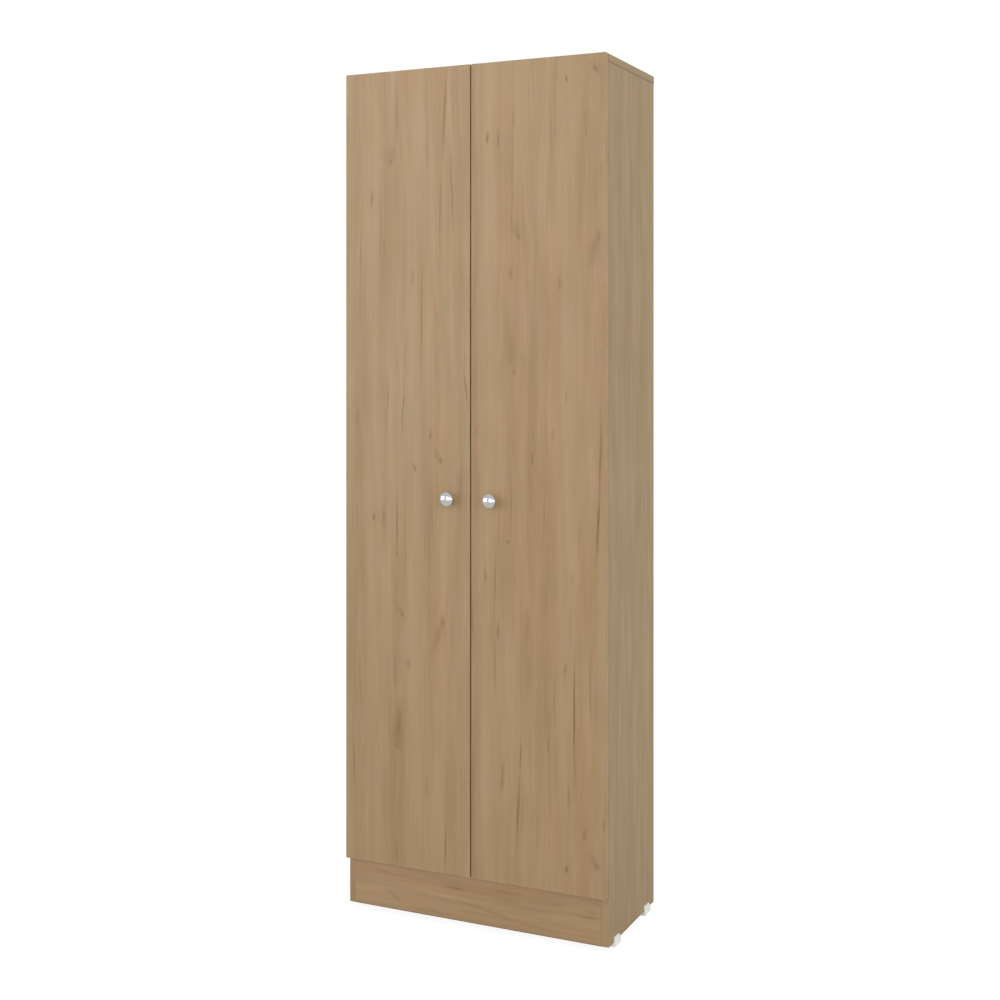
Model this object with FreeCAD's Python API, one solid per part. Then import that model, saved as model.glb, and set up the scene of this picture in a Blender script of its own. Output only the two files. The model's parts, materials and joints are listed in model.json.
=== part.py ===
import FreeCAD, Part
import math
import os

# A tall storage cabinet of coated chipboard with two doors on cup hinges.
# Seen from the front, X runs to the right, Y to the rear and Z up.
# All sizes are millimetres. The model is worked out with y = 0 at the front edges of the side
# boards and z = 0 at the floor, then moved so that its origin is under the middle of its box.
# Only the right-hand pieces are drawn: their mirror images are the left-hand ones.

V = FreeCAD.Vector

# Carcass
WIDTH = 600.0
CARCASS_HEIGHT = 1795.0
SIDE_DEPTH = 277.0
BOARD = 15.0
EDGE_BAND = 0.8
BACK_BOARD = 3.0
BACK_SET_IN = 1.0

# Plinth and feet
FOOT_DROP = 10.0
FOOT_WRAP = 11.0
FOOT_LENGTH = 33.0
FOOT_SET_IN = 30.0
FOOT_FLANGE = 3.0
FOOT_CHAMFER = 9.0
FOOT_ROUND = 2.0
FOOT_NAIL_RADIUS = 1.2
FOOT_NAIL_LENGTH = 25.0
FOOT_NAIL_HEAD_RADIUS = 3.5
FOOT_NAIL_HEAD = 1.2
FOOT_NAIL_RECESS = 3.0
DOOR_LIFT = 100.0
KICK_COVER = 2.0

# Shelves
SHELF_NAMES = ("lowest_shelf", "lower_shelf", "middle_shelf", "upper_shelf", "highest_shelf")
FIXED_SHELF = SHELF_NAMES.index("middle_shelf")
SHELF_END_PLAY = 1.0
SHELF_SET_BACK = 20.0
SHELF_REAR_PLAY = 2.0
PIN_RADIUS = 2.5
PIN_SUNK = 9.0
PIN_PROUD = 9.0
PIN_COLLAR_RADIUS = 3.6
PIN_COLLAR = 0.7
HOLE_ROW = 37.0
HOLE_PITCH = 32.0

# Doors
DOOR_BOARD = 15.0
DOOR_REVEAL = 1.5
DOOR_GAP = 3.0
BUMPER_RADIUS = 4.0
BUMPER_THICKNESS = 1.2
BUMPER_SET_IN = 12.0

# Knobs
KNOB_X = 49.0
KNOB_RISE = 788.0
KNOB_STAND = 24.0
KNOB_RADIUS = 15.3
KNOB_BASE_RADIUS = 8.5
KNOB_BASE = 2.0
KNOB_WAIST_RADIUS = 6.0
KNOB_WAIST_AT = 8.0
KNOB_RIM_AT = 16.5
KNOB_RIM = 2.6
KNOB_BORE = 14.0
KNOB_SCREW_RADIUS = 2.0
KNOB_SCREW_REACH = 11.0
KNOB_SCREW_HEAD_RADIUS = 4.2
KNOB_SCREW_HEAD = 2.4

# Hinge places, measured along the door and inside its compartments
HINGE_END = 100.0
HINGE_MIDDLE_SHARE = 0.7

# Hinge cup, with distances from the door's outer edge and depths from its inner face
CUP_RADIUS = 17.5
CUP_EDGE = 3.5
CUP_DEPTH = 12.0
CUP_WALL = 1.2
CUP_FLOOR = 0.5
CUP_LIP = 1.0
CUP_LIP_START = 17.0
CUP_MOUTH_HALF = 8.0
CUP_EAR_FROM = 19.0
CUP_EAR_TO = 34.0
CUP_EAR_INNER = 13.0
CUP_EAR_OUTER = 29.0
CUP_SCREW_FROM_EDGE = 27.0
CUP_SCREW_HALF_PITCH = 24.0
CUP_SCREW_RADIUS = 1.7
CUP_SCREW_LENGTH = 12.0
CUP_SCREW_HEAD_RADIUS = 3.3
CUP_SCREW_HEAD = 1.2
CHEEK_FROM = 6.0
CHEEK_TO = 14.5
CHEEK_DROP = 0.6
LINK_PIN_FROM_EDGE = 8.5
LINK_PIN_DEPTH = 2.3
EYE_PIN_FROM_EDGE = 11.4
EYE_PIN_DEPTH = 6.5
CUP_PIN_RADIUS = 1.0
CUP_PIN_END = 0.4

# Hinge arm and links, with distances from the inner face of the side board
ARM_PIN_IN = 16.8
ARM_PIN_REAR = 11.9
NOSE_PIN_IN = 13.1
NOSE_PIN_FRONT = 8.3
KNEE_IN = 2.5
KNEE_FRONT = 7.1
EYE_OUT = 4.0
EYE_FRONT = 9.0
ARM_PIN_RADIUS = 1.4
NOSE_PIN_RADIUS = 1.25
ARM_PLATE = 1.2
ARM_HALF = 5.5
ARM_EYE_RADIUS = 3.0
NOSE_RADIUS = 2.7
ARM_LENGTH = 46.0
ARM_BASE_IN = 5.0
OUTER_LINK_PLATE = 1.0
OUTER_LINK_HALF_WIDTH = 1.5
OUTER_LINK_EYE_RADIUS = 1.95
INNER_LINK_HALF_WIDTH = 1.4
INNER_LINK_EYE_RADIUS = 2.3
INNER_LINK_END_RADIUS = 3.1
INNER_LINK_END_BORE = 2.3
LAYER_PLAY = 0.3
PIN_HEAD_PROUD = 0.2

# Hinge mounting plate
PLATE = 2.0
PLATE_FRONT = 22.0
PLATE_LENGTH = 34.0
PLATE_HALF = 8.0
PLATE_EAR_HALF = 6.0
PLATE_EAR_REACH = 24.0
PLATE_SCREW_HALF_PITCH = 16.0
PLATE_SCREW_RADIUS = 2.5
PLATE_SCREW_LENGTH = 12.0
PLATE_SCREW_HEAD_RADIUS = 3.8
PLATE_SCREW_HEAD = 1.5
ARM_SCREW_RADIUS = 2.0
ARM_SCREW_LENGTH = 12.0
ARM_SCREW_HEAD_RADIUS = 3.9
ARM_SCREW_HEAD = 2.0
ARM_SCREW_SHARES = (0.2, 0.8)

# Cam fittings
CAM_RADIUS = 7.5
CAM_DEPTH = 12.0
CAM_REACH = 34.0
CAM_THREAD_RADIUS = 2.6
CAM_THREAD_LENGTH = 11.0
CAM_SHANK_RADIUS = 3.0
CAM_NECK_RADIUS = 1.8
CAM_NECK_LENGTH = 5.0
CAM_HEAD_LENGTH = 3.0
CAM_POCKET_PLAY = 0.4
CAM_DRIVE_RADIUS = 2.2
CAM_DRIVE_DEPTH = 2.0
CAM_COVER_RADIUS = 8.5
CAM_COVER = 1.2
CAM_COVER_STUB = 1.4

# Dowels
DOWEL_RADIUS = 4.0
DOWEL_SHALLOW = 9.0
DOWEL_DEEP = 20.0

# Back panel joint and nails
JOINER_WEB = 1.5
JOINER_FLANGE = 1.0
JOINER_HALF = 6.0
JOINER_END_PLAY = 0.5
NAIL_RADIUS = 0.8
NAIL_LENGTH = 20.0
NAIL_HEAD_RADIUS = 2.3
NAIL_HEAD = 0.9
NAIL_PITCH = 150.0
NAIL_MARGIN = 20.0

# Wall brackets
BRACKET_X = 200.0
BRACKET_WIDTH = 22.0
BRACKET_LEG = 40.0
BRACKET_PLATE = 2.0
BRACKET_HOLE_RADIUS = 2.75
BRACKET_SCREW_RADIUS = 1.8
BRACKET_SCREW_LENGTH = 11.0
BRACKET_SCREW_HEAD_RADIUS = 3.5
BRACKET_SCREW_HEAD = 1.6

# Radial play of everything that sits in a bored hole
PLAY = 0.05

# Levels and faces that follow from the sizes above
outer = WIDTH / 2
inner = outer - BOARD
side_bottom = FOOT_DROP
side_top = side_bottom + CARCASS_HEIGHT - BOARD
cabinet_top = side_top + BOARD
door_bottom = side_bottom + DOOR_LIFT
kick_top = door_bottom + KICK_COVER
bottom_top = kick_top + BOARD
shelf_count = len(SHELF_NAMES)
clear_height = (side_top - bottom_top - shelf_count * BOARD) / (shelf_count + 1)
shelf_levels = [bottom_top + clear_height + k * (clear_height + BOARD) for k in range(shelf_count)]
fixed_level = shelf_levels[FIXED_SHELF]
door_back = -DOOR_REVEAL
door_front = door_back - DOOR_BOARD
knob_level = door_bottom + KNOB_RISE
back_face = SIDE_DEPTH + BACK_BOARD
hinge_levels = (
    door_bottom + HINGE_END,
    fixed_level - HINGE_MIDDLE_SHARE * clear_height,
    fixed_level + BOARD + HINGE_MIDDLE_SHARE * clear_height,
    cabinet_top - HINGE_END,
)
rear_row = SIDE_DEPTH - HOLE_ROW
front_most = door_front - KNOB_STAND
rear_most = back_face + max(NAIL_HEAD, JOINER_FLANGE)
origin_shift = V(0, -(front_most + rear_most) / 2, 0)

# Hinge pivots, as x and y seen from above
arm_pin = (inner - ARM_PIN_IN, ARM_PIN_REAR)
nose_pin = (inner - NOSE_PIN_IN, -NOSE_PIN_FRONT)
knee = (inner - KNEE_IN, -KNEE_FRONT)
eye_centre = (inner + EYE_OUT, -EYE_FRONT)
link_pin = (outer - LINK_PIN_FROM_EDGE, door_back - LINK_PIN_DEPTH)
eye_pin = (outer - EYE_PIN_FROM_EDGE, door_back - EYE_PIN_DEPTH)

# Heights of the hinge's layers above and below its middle
inner_link_half = ARM_HALF - ARM_PLATE - LAYER_PLAY
outer_link_from = ARM_HALF + LAYER_PLAY
outer_link_to = outer_link_from + OUTER_LINK_PLATE
cheek_from = outer_link_to + PIN_HEAD_PROUD
cheek_to = cheek_from + ARM_PLATE + CUP_FLOOR

# Directions
RIGHT = V(1, 0, 0)
LEFT = V(-1, 0, 0)
REAR = V(0, 1, 0)
FRONT = V(0, -1, 0)
UP = V(0, 0, 1)
DOWN = V(0, 0, -1)
SPREAD = (-1, 1)
EDGES = {"left": (0, 0), "right": (0, 1), "front": (1, 0), "bottom": (2, 0), "top": (2, 1)}

nodes = {}
drillings = {}


def block(x, y, z):
    """A box between two limits along each axis."""
    corner = V(x[0], y[0], z[0])
    return Part.makeBox(x[1] - x[0], y[1] - y[0], z[1] - z[0], corner)


def rod(radius, length, start, direction):
    return Part.makeCylinder(radius, length, start, direction)


def upright(radius, place, z):
    """A vertical rod at a place seen from above, between two heights."""
    return rod(radius, z[1] - z[0], V(place[0], place[1], z[0]), UP)


def joined(shapes):
    return shapes[0].multiFuse(shapes[1:]).removeSplitter()


def mirrored(shape):
    return shape.mirror(V(0, 0, 0), RIGHT)


def around(middle, half):
    return (middle - half, middle + half)


def add(name, *shapes):
    nodes.setdefault(name, []).extend(shapes)


def add_both(name, *shapes):
    """Pieces that one node holds on both sides of the cabinet."""
    add(name, *shapes)
    add(name, *[mirrored(shape) for shape in shapes])


def drill(name, *cutters):
    drillings.setdefault(name, []).extend(cutters)
    if not name.startswith("right_"):
        drillings[name].extend([mirrored(cutter) for cutter in cutters])


def banded(x, y, z, edges):
    """Split a board into its core and the strips glued on the named edges."""
    spans = [list(x), list(y), list(z)]
    strips = []
    for edge in edges:
        axis, end = EDGES[edge]
        face = spans[axis][end]
        core_face = face + EDGE_BAND if end == 0 else face - EDGE_BAND
        strip = [list(span) for span in spans]
        strip[axis] = sorted((face, core_face))
        strips.append(block(*strip))
        spans[axis][end] = core_face
    return block(*spans), strips


def screw(point, direction, radius, length, head_radius, head):
    """A shank that runs on from the point, with a head on the other side of it."""
    shank = rod(radius, length, point, direction)
    top = rod(head_radius, head, point, direction * -1)
    return joined([shank, top])


def strap(ends, half_width, z):
    """A flat bar that runs through round ends, each a place and a radius."""
    shapes = [upright(radius, place, z) for place, radius in ends]
    for (start, _), (stop, _) in zip(ends, ends[1:]):
        along = V(stop[0] - start[0], stop[1] - start[1], 0)
        bar = Part.makeBox(along.Length, 2 * half_width, z[1] - z[0], V(0, -half_width, 0))
        bar.rotate(V(0, 0, 0), UP, math.degrees(math.atan2(along.y, along.x)))
        bar.translate(V(start[0], start[1], z[0]))
        shapes.append(bar)
    return joined(shapes)


def cam_fitting(seat, inward, sink, bolt_board, cam_board):
    """A bolt and its cam lock on the right-hand side.

    The seat lies in the joint, inward points into the board with the cam, and sink points
    from that board's open face into it.
    """
    cam_middle = seat + inward * CAM_REACH
    mouth = cam_middle - sink * (BOARD / 2)
    head_start = CAM_REACH - CAM_HEAD_LENGTH / 2
    neck_start = head_start - CAM_NECK_LENGTH
    bolt = joined([
        rod(CAM_THREAD_RADIUS, CAM_THREAD_LENGTH, seat, inward * -1),
        rod(CAM_SHANK_RADIUS, neck_start, seat, inward),
        rod(CAM_NECK_RADIUS, CAM_NECK_LENGTH, seat + inward * neck_start, inward),
        rod(CAM_SHANK_RADIUS, CAM_HEAD_LENGTH, seat + inward * head_start, inward),
    ])
    neck_slot = rod(CAM_NECK_RADIUS + CAM_POCKET_PLAY, CAM_REACH, seat, inward)
    shank_slot = rod(CAM_SHANK_RADIUS + CAM_POCKET_PLAY, neck_start + CAM_POCKET_PLAY, seat, inward)
    pocket_start = head_start - CAM_POCKET_PLAY
    pocket_length = CAM_HEAD_LENGTH + 2 * CAM_POCKET_PLAY
    pocket = rod(CAM_SHANK_RADIUS + CAM_POCKET_PLAY, pocket_length, seat + inward * pocket_start, inward)
    drive = rod(CAM_DRIVE_RADIUS, CAM_DRIVE_DEPTH, mouth, sink)
    cam = rod(CAM_RADIUS, CAM_DEPTH, mouth, sink).cut([neck_slot, shank_slot, pocket, drive])
    add_both("cam_bolts", bolt)
    add_both("cam_locks", cam)
    drill(bolt_board, rod(CAM_THREAD_RADIUS + PLAY, CAM_THREAD_LENGTH, seat, inward * -1))
    drill(cam_board, rod(CAM_SHANK_RADIUS + CAM_POCKET_PLAY, CAM_REACH, seat, inward))
    drill(cam_board, rod(CAM_RADIUS + PLAY, CAM_DEPTH, mouth, sink))
    return mouth


def dowel(seat, inward, shallow_board, deep_board):
    """A wooden dowel across a joint, deeper in the board that inward points into."""
    start = seat - inward * DOWEL_SHALLOW
    add_both("wood_dowels", rod(DOWEL_RADIUS, DOWEL_SHALLOW + DOWEL_DEEP, start, inward))
    drill(shallow_board, rod(DOWEL_RADIUS + PLAY, DOWEL_SHALLOW, start, inward))
    drill(deep_board, rod(DOWEL_RADIUS + PLAY, DOWEL_DEEP, seat, inward))


def make_boards():
    core, bands = banded((inner, outer), (0, SIDE_DEPTH), (side_bottom, side_top), ["front"])
    add("right_side", core)
    add_both("carcass_edge_bands", *bands)
    top_edges = ["left", "right", "front"]
    core, bands = banded((-outer, outer), (0, back_face), (side_top, cabinet_top), top_edges)
    add("top_panel", core)
    add("carcass_edge_bands", *bands)
    core, bands = banded((-inner, inner), (0, SIDE_DEPTH), (kick_top, bottom_top), ["front"])
    add("bottom_panel", core)
    add("carcass_edge_bands", *bands)
    add("kick_board", block((-inner, inner), (0, BOARD), (side_bottom, kick_top)))


def make_shelves():
    for number, level in enumerate(shelf_levels):
        name = SHELF_NAMES[number]
        z = (level, level + BOARD)
        if number == FIXED_SHELF:
            y = (0, SIDE_DEPTH - JOINER_FLANGE)
            core, bands = banded((-inner, inner), y, z, ["front"])
            add("carcass_edge_bands", *bands)
        else:
            half_width = inner - SHELF_END_PLAY
            y = (SHELF_SET_BACK, SIDE_DEPTH - SHELF_REAR_PLAY)
            core, bands = banded((-half_width, half_width), y, z, ["front"])
            add(name + "_edge_band", *bands)
            make_shelf_pins(level)
        add(name, core)


def make_shelf_pins(level):
    for row in (HOLE_ROW, rear_row):
        height = level - PIN_RADIUS
        seat = V(inner, row, height)
        pin = rod(PIN_RADIUS, PIN_SUNK + PIN_PROUD, seat + RIGHT * PIN_SUNK, LEFT)
        collar = rod(PIN_COLLAR_RADIUS, PIN_COLLAR, seat, LEFT)
        under_shelf = block(
            (inner - PIN_PROUD, inner), around(row, PIN_COLLAR_RADIUS), (level, level + PIN_COLLAR_RADIUS)
        )
        add_both("shelf_pins", joined([pin, collar]).cut(under_shelf))
        for step in (-1, 0, 1):
            mouth = seat + UP * (step * HOLE_PITCH)
            drill("right_side", rod(PIN_RADIUS + PLAY, PIN_SUNK, mouth, RIGHT))


def make_fittings():
    middle_row = SIDE_DEPTH / 2
    half_board = BOARD / 2
    for row in (HOLE_ROW, rear_row):
        top_seat = V(inner + half_board, row, side_top)
        mouth = cam_fitting(top_seat, DOWN, RIGHT, "top_panel", "right_side")
        stub = rod(CAM_DRIVE_RADIUS - PLAY, CAM_COVER_STUB, mouth, RIGHT)
        cover = rod(CAM_COVER_RADIUS, CAM_COVER, mouth, LEFT)
        add_both("cam_covers", joined([cover, stub]))
        for level, board in ((kick_top, "bottom_panel"), (fixed_level, "middle_shelf")):
            seat = V(inner, row, level + half_board)
            cam_fitting(seat, LEFT, UP, "right_side", board)
    dowel(V(inner + half_board, middle_row, side_top), DOWN, "top_panel", "right_side")
    for level, board in ((kick_top, "bottom_panel"), (fixed_level, "middle_shelf")):
        dowel(V(inner, middle_row, level + half_board), LEFT, "right_side", board)
    kick_height = kick_top - side_bottom
    kick_cam = V(inner, half_board, side_bottom + kick_height / 3)
    cam_fitting(kick_cam, LEFT, FRONT, "right_side", "kick_board")
    kick_dowel = V(inner, half_board, kick_top - kick_height / 4)
    dowel(kick_dowel, LEFT, "right_side", "kick_board")
    for share in (1 / 3, 1):
        place = V(share * (inner - HOLE_ROW), half_board, kick_top)
        dowel(place, DOWN, "bottom_panel", "kick_board")


def make_foot(name, front):
    """A nailed-on foot that wraps the board's lower edge, with its upper rear corner cut off."""
    rear = front + FOOT_LENGTH
    base = block((inner, outer + FOOT_FLANGE), (front, rear), (0, FOOT_DROP))
    flange_top = side_bottom + FOOT_WRAP
    flange = block((outer, outer + FOOT_FLANGE), (front, rear), (0, flange_top))
    foot = joined([base, flange])
    low_edges = [edge for edge in foot.Edges if edge.BoundBox.ZMax < FOOT_ROUND]
    foot = foot.makeFillet(FOOT_ROUND, low_edges)
    corner = [
        V(outer, rear, flange_top),
        V(outer, rear - FOOT_CHAMFER, flange_top),
        V(outer, rear, flange_top - FOOT_CHAMFER),
        V(outer, rear, flange_top),
    ]
    foot = foot.cut(Part.Face(Part.makePolygon(corner)).extrude(RIGHT * FOOT_FLANGE))
    middle = V(inner + BOARD / 2, (front + rear) / 2, 0)
    recess = rod(FOOT_NAIL_HEAD_RADIUS + PLAY, FOOT_NAIL_RECESS, middle, UP)
    seat = middle + UP * FOOT_NAIL_RECESS
    nail_sizes = (FOOT_NAIL_RADIUS, FOOT_NAIL_LENGTH, FOOT_NAIL_HEAD_RADIUS, FOOT_NAIL_HEAD)
    add_both("foot_nails", screw(seat, UP, *nail_sizes))
    bore = rod(FOOT_NAIL_RADIUS + PLAY, FOOT_NAIL_LENGTH, seat, UP)
    add(name, foot)
    drill(name, recess, bore)
    drill("right_side", bore)


def nail(place):
    """A nail through the back panel, driven forwards from its rear face."""
    point = V(place[0], back_face, place[1])
    add_both("back_nails", screw(point, FRONT, NAIL_RADIUS, NAIL_LENGTH, NAIL_HEAD_RADIUS, NAIL_HEAD))
    return rod(NAIL_RADIUS + PLAY, NAIL_LENGTH, point, FRONT)


def spread(low, high):
    """Even places between two limits, no further apart than the nail pitch."""
    steps = max(1, math.ceil((high - low) / NAIL_PITCH))
    return [low + (high - low) * k / steps for k in range(steps + 1)]


def make_back():
    joint = fixed_level + BOARD / 2
    half_web = JOINER_WEB / 2
    half_width = outer - BACK_SET_IN
    spans = {
        "back_panel_lower": (kick_top, joint - half_web),
        "back_panel_upper": (joint + half_web, side_top),
    }
    for name, z in spans.items():
        add(name, block((-half_width, half_width), (SIDE_DEPTH, back_face), z))
        for height in spread(z[0] + NAIL_MARGIN, z[1] - NAIL_MARGIN):
            bore = nail((inner + BOARD / 2, height))
            drill(name, bore)
            drill("right_side", bore)
    low_nails = spread(0, inner - NAIL_MARGIN)[1:]
    for x in low_nails:
        bore = nail((x, kick_top + BOARD / 2))
        drill("back_panel_lower", bore)
        drill("bottom_panel", bore)
    length = (-inner + JOINER_END_PLAY, inner - JOINER_END_PLAY)
    web = block(length, (SIDE_DEPTH, back_face), around(joint, half_web))
    front_flange = block(length, (SIDE_DEPTH - JOINER_FLANGE, SIDE_DEPTH), around(joint, JOINER_HALF))
    rear_flange = block(length, (back_face, back_face + JOINER_FLANGE), around(joint, JOINER_HALF))
    add("back_joiner", joined([front_flange, web, rear_flange]))


def make_brackets():
    x = around(BRACKET_X, BRACKET_WIDTH / 2)
    leg_front = SIDE_DEPTH - BRACKET_LEG
    flat_leg = block(x, (leg_front, SIDE_DEPTH), (side_top - BRACKET_PLATE, side_top))
    wall_leg = block(x, (SIDE_DEPTH - BRACKET_PLATE, SIDE_DEPTH), (side_top - BRACKET_LEG, side_top))
    add_both("anti_tip_brackets", joined([flat_leg, wall_leg]))
    wall_hole = V(BRACKET_X, SIDE_DEPTH - BRACKET_PLATE, side_top - BRACKET_LEG / 2)
    bore = rod(BRACKET_HOLE_RADIUS, BRACKET_PLATE + BACK_BOARD, wall_hole, REAR)
    drill("anti_tip_brackets", bore)
    drill("back_panel_upper", bore)
    for share in (1 / 4, 3 / 5):
        seat = V(BRACKET_X, leg_front + share * BRACKET_LEG, side_top - BRACKET_PLATE)
        sizes = (BRACKET_SCREW_RADIUS, BRACKET_SCREW_LENGTH, BRACKET_SCREW_HEAD_RADIUS, BRACKET_SCREW_HEAD)
        add_both("bracket_screws", screw(seat, UP, *sizes))
        bore = rod(BRACKET_SCREW_RADIUS + PLAY, BRACKET_SCREW_LENGTH, seat, UP)
        drill("anti_tip_brackets", bore)
        drill("top_panel", bore)


def make_door():
    edges = ["left", "right", "bottom", "top"]
    x = (DOOR_GAP / 2, outer)
    core, bands = banded(x, (door_front, door_back), (door_bottom, cabinet_top), edges)
    add("right_door", core)
    add("right_door_edge_bands", *bands)
    for height in (kick_top + BOARD / 2, cabinet_top - BOARD / 2):
        seat = V(x[0] + BUMPER_SET_IN, door_back, height)
        add("right_door_bumpers", rod(BUMPER_RADIUS, BUMPER_THICKNESS, seat, REAR))


def knob_point(radius, stand):
    return V(KNOB_X + radius, door_front - stand, knob_level)


def make_knob():
    rim_back = KNOB_RIM_AT - KNOB_RIM / 2
    rim_front = KNOB_RIM_AT + KNOB_RIM / 2
    flare = rim_back - KNOB_WAIST_AT
    half_flare = math.pi / 4
    shoulder = knob_point(
        KNOB_WAIST_RADIUS + flare * (1 - math.cos(half_flare)),
        KNOB_WAIST_AT + flare * math.sin(half_flare),
    )
    dome_height = KNOB_STAND - rim_front
    dome_radius = (KNOB_RADIUS ** 2 + dome_height ** 2) / (2 * dome_height)
    half_dome = math.asin(KNOB_RADIUS / dome_radius) / 2
    dome = knob_point(
        dome_radius * math.sin(half_dome),
        KNOB_STAND - dome_radius * (1 - math.cos(half_dome)),
    )
    corners = [
        knob_point(0, 0),
        knob_point(KNOB_BASE_RADIUS, 0),
        knob_point(KNOB_BASE_RADIUS, KNOB_BASE),
        knob_point(KNOB_WAIST_RADIUS, KNOB_WAIST_AT),
        knob_point(KNOB_WAIST_RADIUS + flare, rim_back),
        knob_point(KNOB_RADIUS, rim_back),
        knob_point(KNOB_RADIUS, rim_front),
        knob_point(0, KNOB_STAND),
    ]
    outline = [
        Part.LineSegment(corners[0], corners[1]),
        Part.LineSegment(corners[1], corners[2]),
        Part.LineSegment(corners[2], corners[3]),
        Part.Arc(corners[3], shoulder, corners[4]),
        Part.LineSegment(corners[4], corners[5]),
        Part.LineSegment(corners[5], corners[6]),
        Part.Arc(corners[6], dome, corners[7]),
        Part.LineSegment(corners[7], corners[0]),
    ]
    face = Part.Face(Part.Wire([edge.toShape() for edge in outline]))
    full_turn = 360
    knob = face.revolve(corners[0], REAR, full_turn)
    add("right_knob", knob)
    drill("right_knob", rod(KNOB_SCREW_RADIUS + PLAY, KNOB_BORE, corners[0], FRONT))
    seat = V(KNOB_X, door_back, knob_level)
    length = DOOR_BOARD + KNOB_SCREW_REACH
    sizes = (KNOB_SCREW_RADIUS, length, KNOB_SCREW_HEAD_RADIUS, KNOB_SCREW_HEAD)
    add("right_knob_screw", screw(seat, FRONT, *sizes))
    drill("right_door", rod(KNOB_SCREW_RADIUS + PLAY, DOOR_BOARD, seat, FRONT))


def make_cup(level):
    middle = outer - CUP_EDGE - CUP_RADIUS
    lip_face = door_back + CUP_LIP
    floor_face = door_back - CUP_DEPTH
    start = V(middle, floor_face, level)
    height = CUP_DEPTH + CUP_LIP
    body = rod(CUP_RADIUS, height, start, REAR)
    hollow = rod(CUP_RADIUS - CUP_WALL, height - CUP_FLOOR, start + REAR * CUP_FLOOR, REAR)
    lip_y = (door_back, lip_face)
    whole_z = around(level, CUP_RADIUS)
    flush_part = block((outer - CUP_LIP_START, outer), lip_y, whole_z)
    mouth_part = block(around(middle, CUP_RADIUS), lip_y, around(level, CUP_MOUTH_HALF))
    pieces = [body.cut([hollow, flush_part, mouth_part])]
    ear_x = (outer - CUP_EAR_TO, outer - CUP_EAR_FROM)
    cheek_x = (outer - CHEEK_TO, outer - CHEEK_FROM)
    cheek_y = (floor_face, door_back - CHEEK_DROP)
    cheek_middle = (cheek_from + cheek_to) / 2
    pin_end = cheek_to - CUP_PIN_END
    for side in SPREAD:
        ear_z = sorted((level + side * CUP_EAR_INNER, level + side * CUP_EAR_OUTER))
        pieces.append(block(ear_x, lip_y, ear_z).cut(hollow))
        cheek_z = around(level + side * cheek_middle, (cheek_to - cheek_from) / 2)
        pieces.append(block(cheek_x, cheek_y, cheek_z).common(body))
        seat = V(outer - CUP_SCREW_FROM_EDGE, lip_face, level + side * CUP_SCREW_HALF_PITCH)
        sizes = (CUP_SCREW_RADIUS, CUP_SCREW_LENGTH, CUP_SCREW_HEAD_RADIUS, CUP_SCREW_HEAD)
        add("right_cup_screws", screw(seat, FRONT, *sizes))
        screw_bore = rod(CUP_SCREW_RADIUS + PLAY, CUP_SCREW_LENGTH, seat, FRONT)
        drill("right_hinge_cups", screw_bore)
        drill("right_door", screw_bore)
        stub_z = sorted((level + side * (outer_link_from - LAYER_PLAY / 2), level + side * pin_end))
        add("right_cup_pins", upright(CUP_PIN_RADIUS, link_pin, stub_z))
        drill("right_hinge_cups", upright(CUP_PIN_RADIUS + PLAY, link_pin, stub_z))
    pin_z = around(level, pin_end)
    add("right_cup_pins", upright(CUP_PIN_RADIUS, eye_pin, pin_z))
    drill("right_hinge_cups", upright(CUP_PIN_RADIUS + PLAY, eye_pin, pin_z))
    add("right_hinge_cups", joined(pieces))
    drill("right_door", rod(CUP_RADIUS + PLAY, CUP_DEPTH, start, REAR))


def make_plate(level):
    ridge_in = ARM_PIN_IN + ARM_EYE_RADIUS - ARM_PLATE - PLAY
    y = (PLATE_FRONT, PLATE_FRONT + PLATE_LENGTH)
    base_x = (inner - PLATE, inner)
    base = block(base_x, y, around(level, PLATE_HALF))
    ears = block(base_x, around(HOLE_ROW, PLATE_EAR_HALF), around(level, PLATE_EAR_REACH))
    ridge = block((inner - ridge_in, inner - PLATE), y, around(level, ARM_HALF - ARM_PLATE - PLAY))
    add("right_hinge_plates", joined([base, ears, ridge]))
    for side in SPREAD:
        seat = V(inner - PLATE, HOLE_ROW, level + side * PLATE_SCREW_HALF_PITCH)
        sizes = (PLATE_SCREW_RADIUS, PLATE_SCREW_LENGTH, PLATE_SCREW_HEAD_RADIUS, PLATE_SCREW_HEAD)
        add_both("hinge_plate_screws", screw(seat, RIGHT, *sizes))
        bore = rod(PLATE_SCREW_RADIUS + PLAY, PLATE_SCREW_LENGTH, seat, RIGHT)
        drill("right_hinge_plates", bore)
        drill("right_side", bore)


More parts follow.
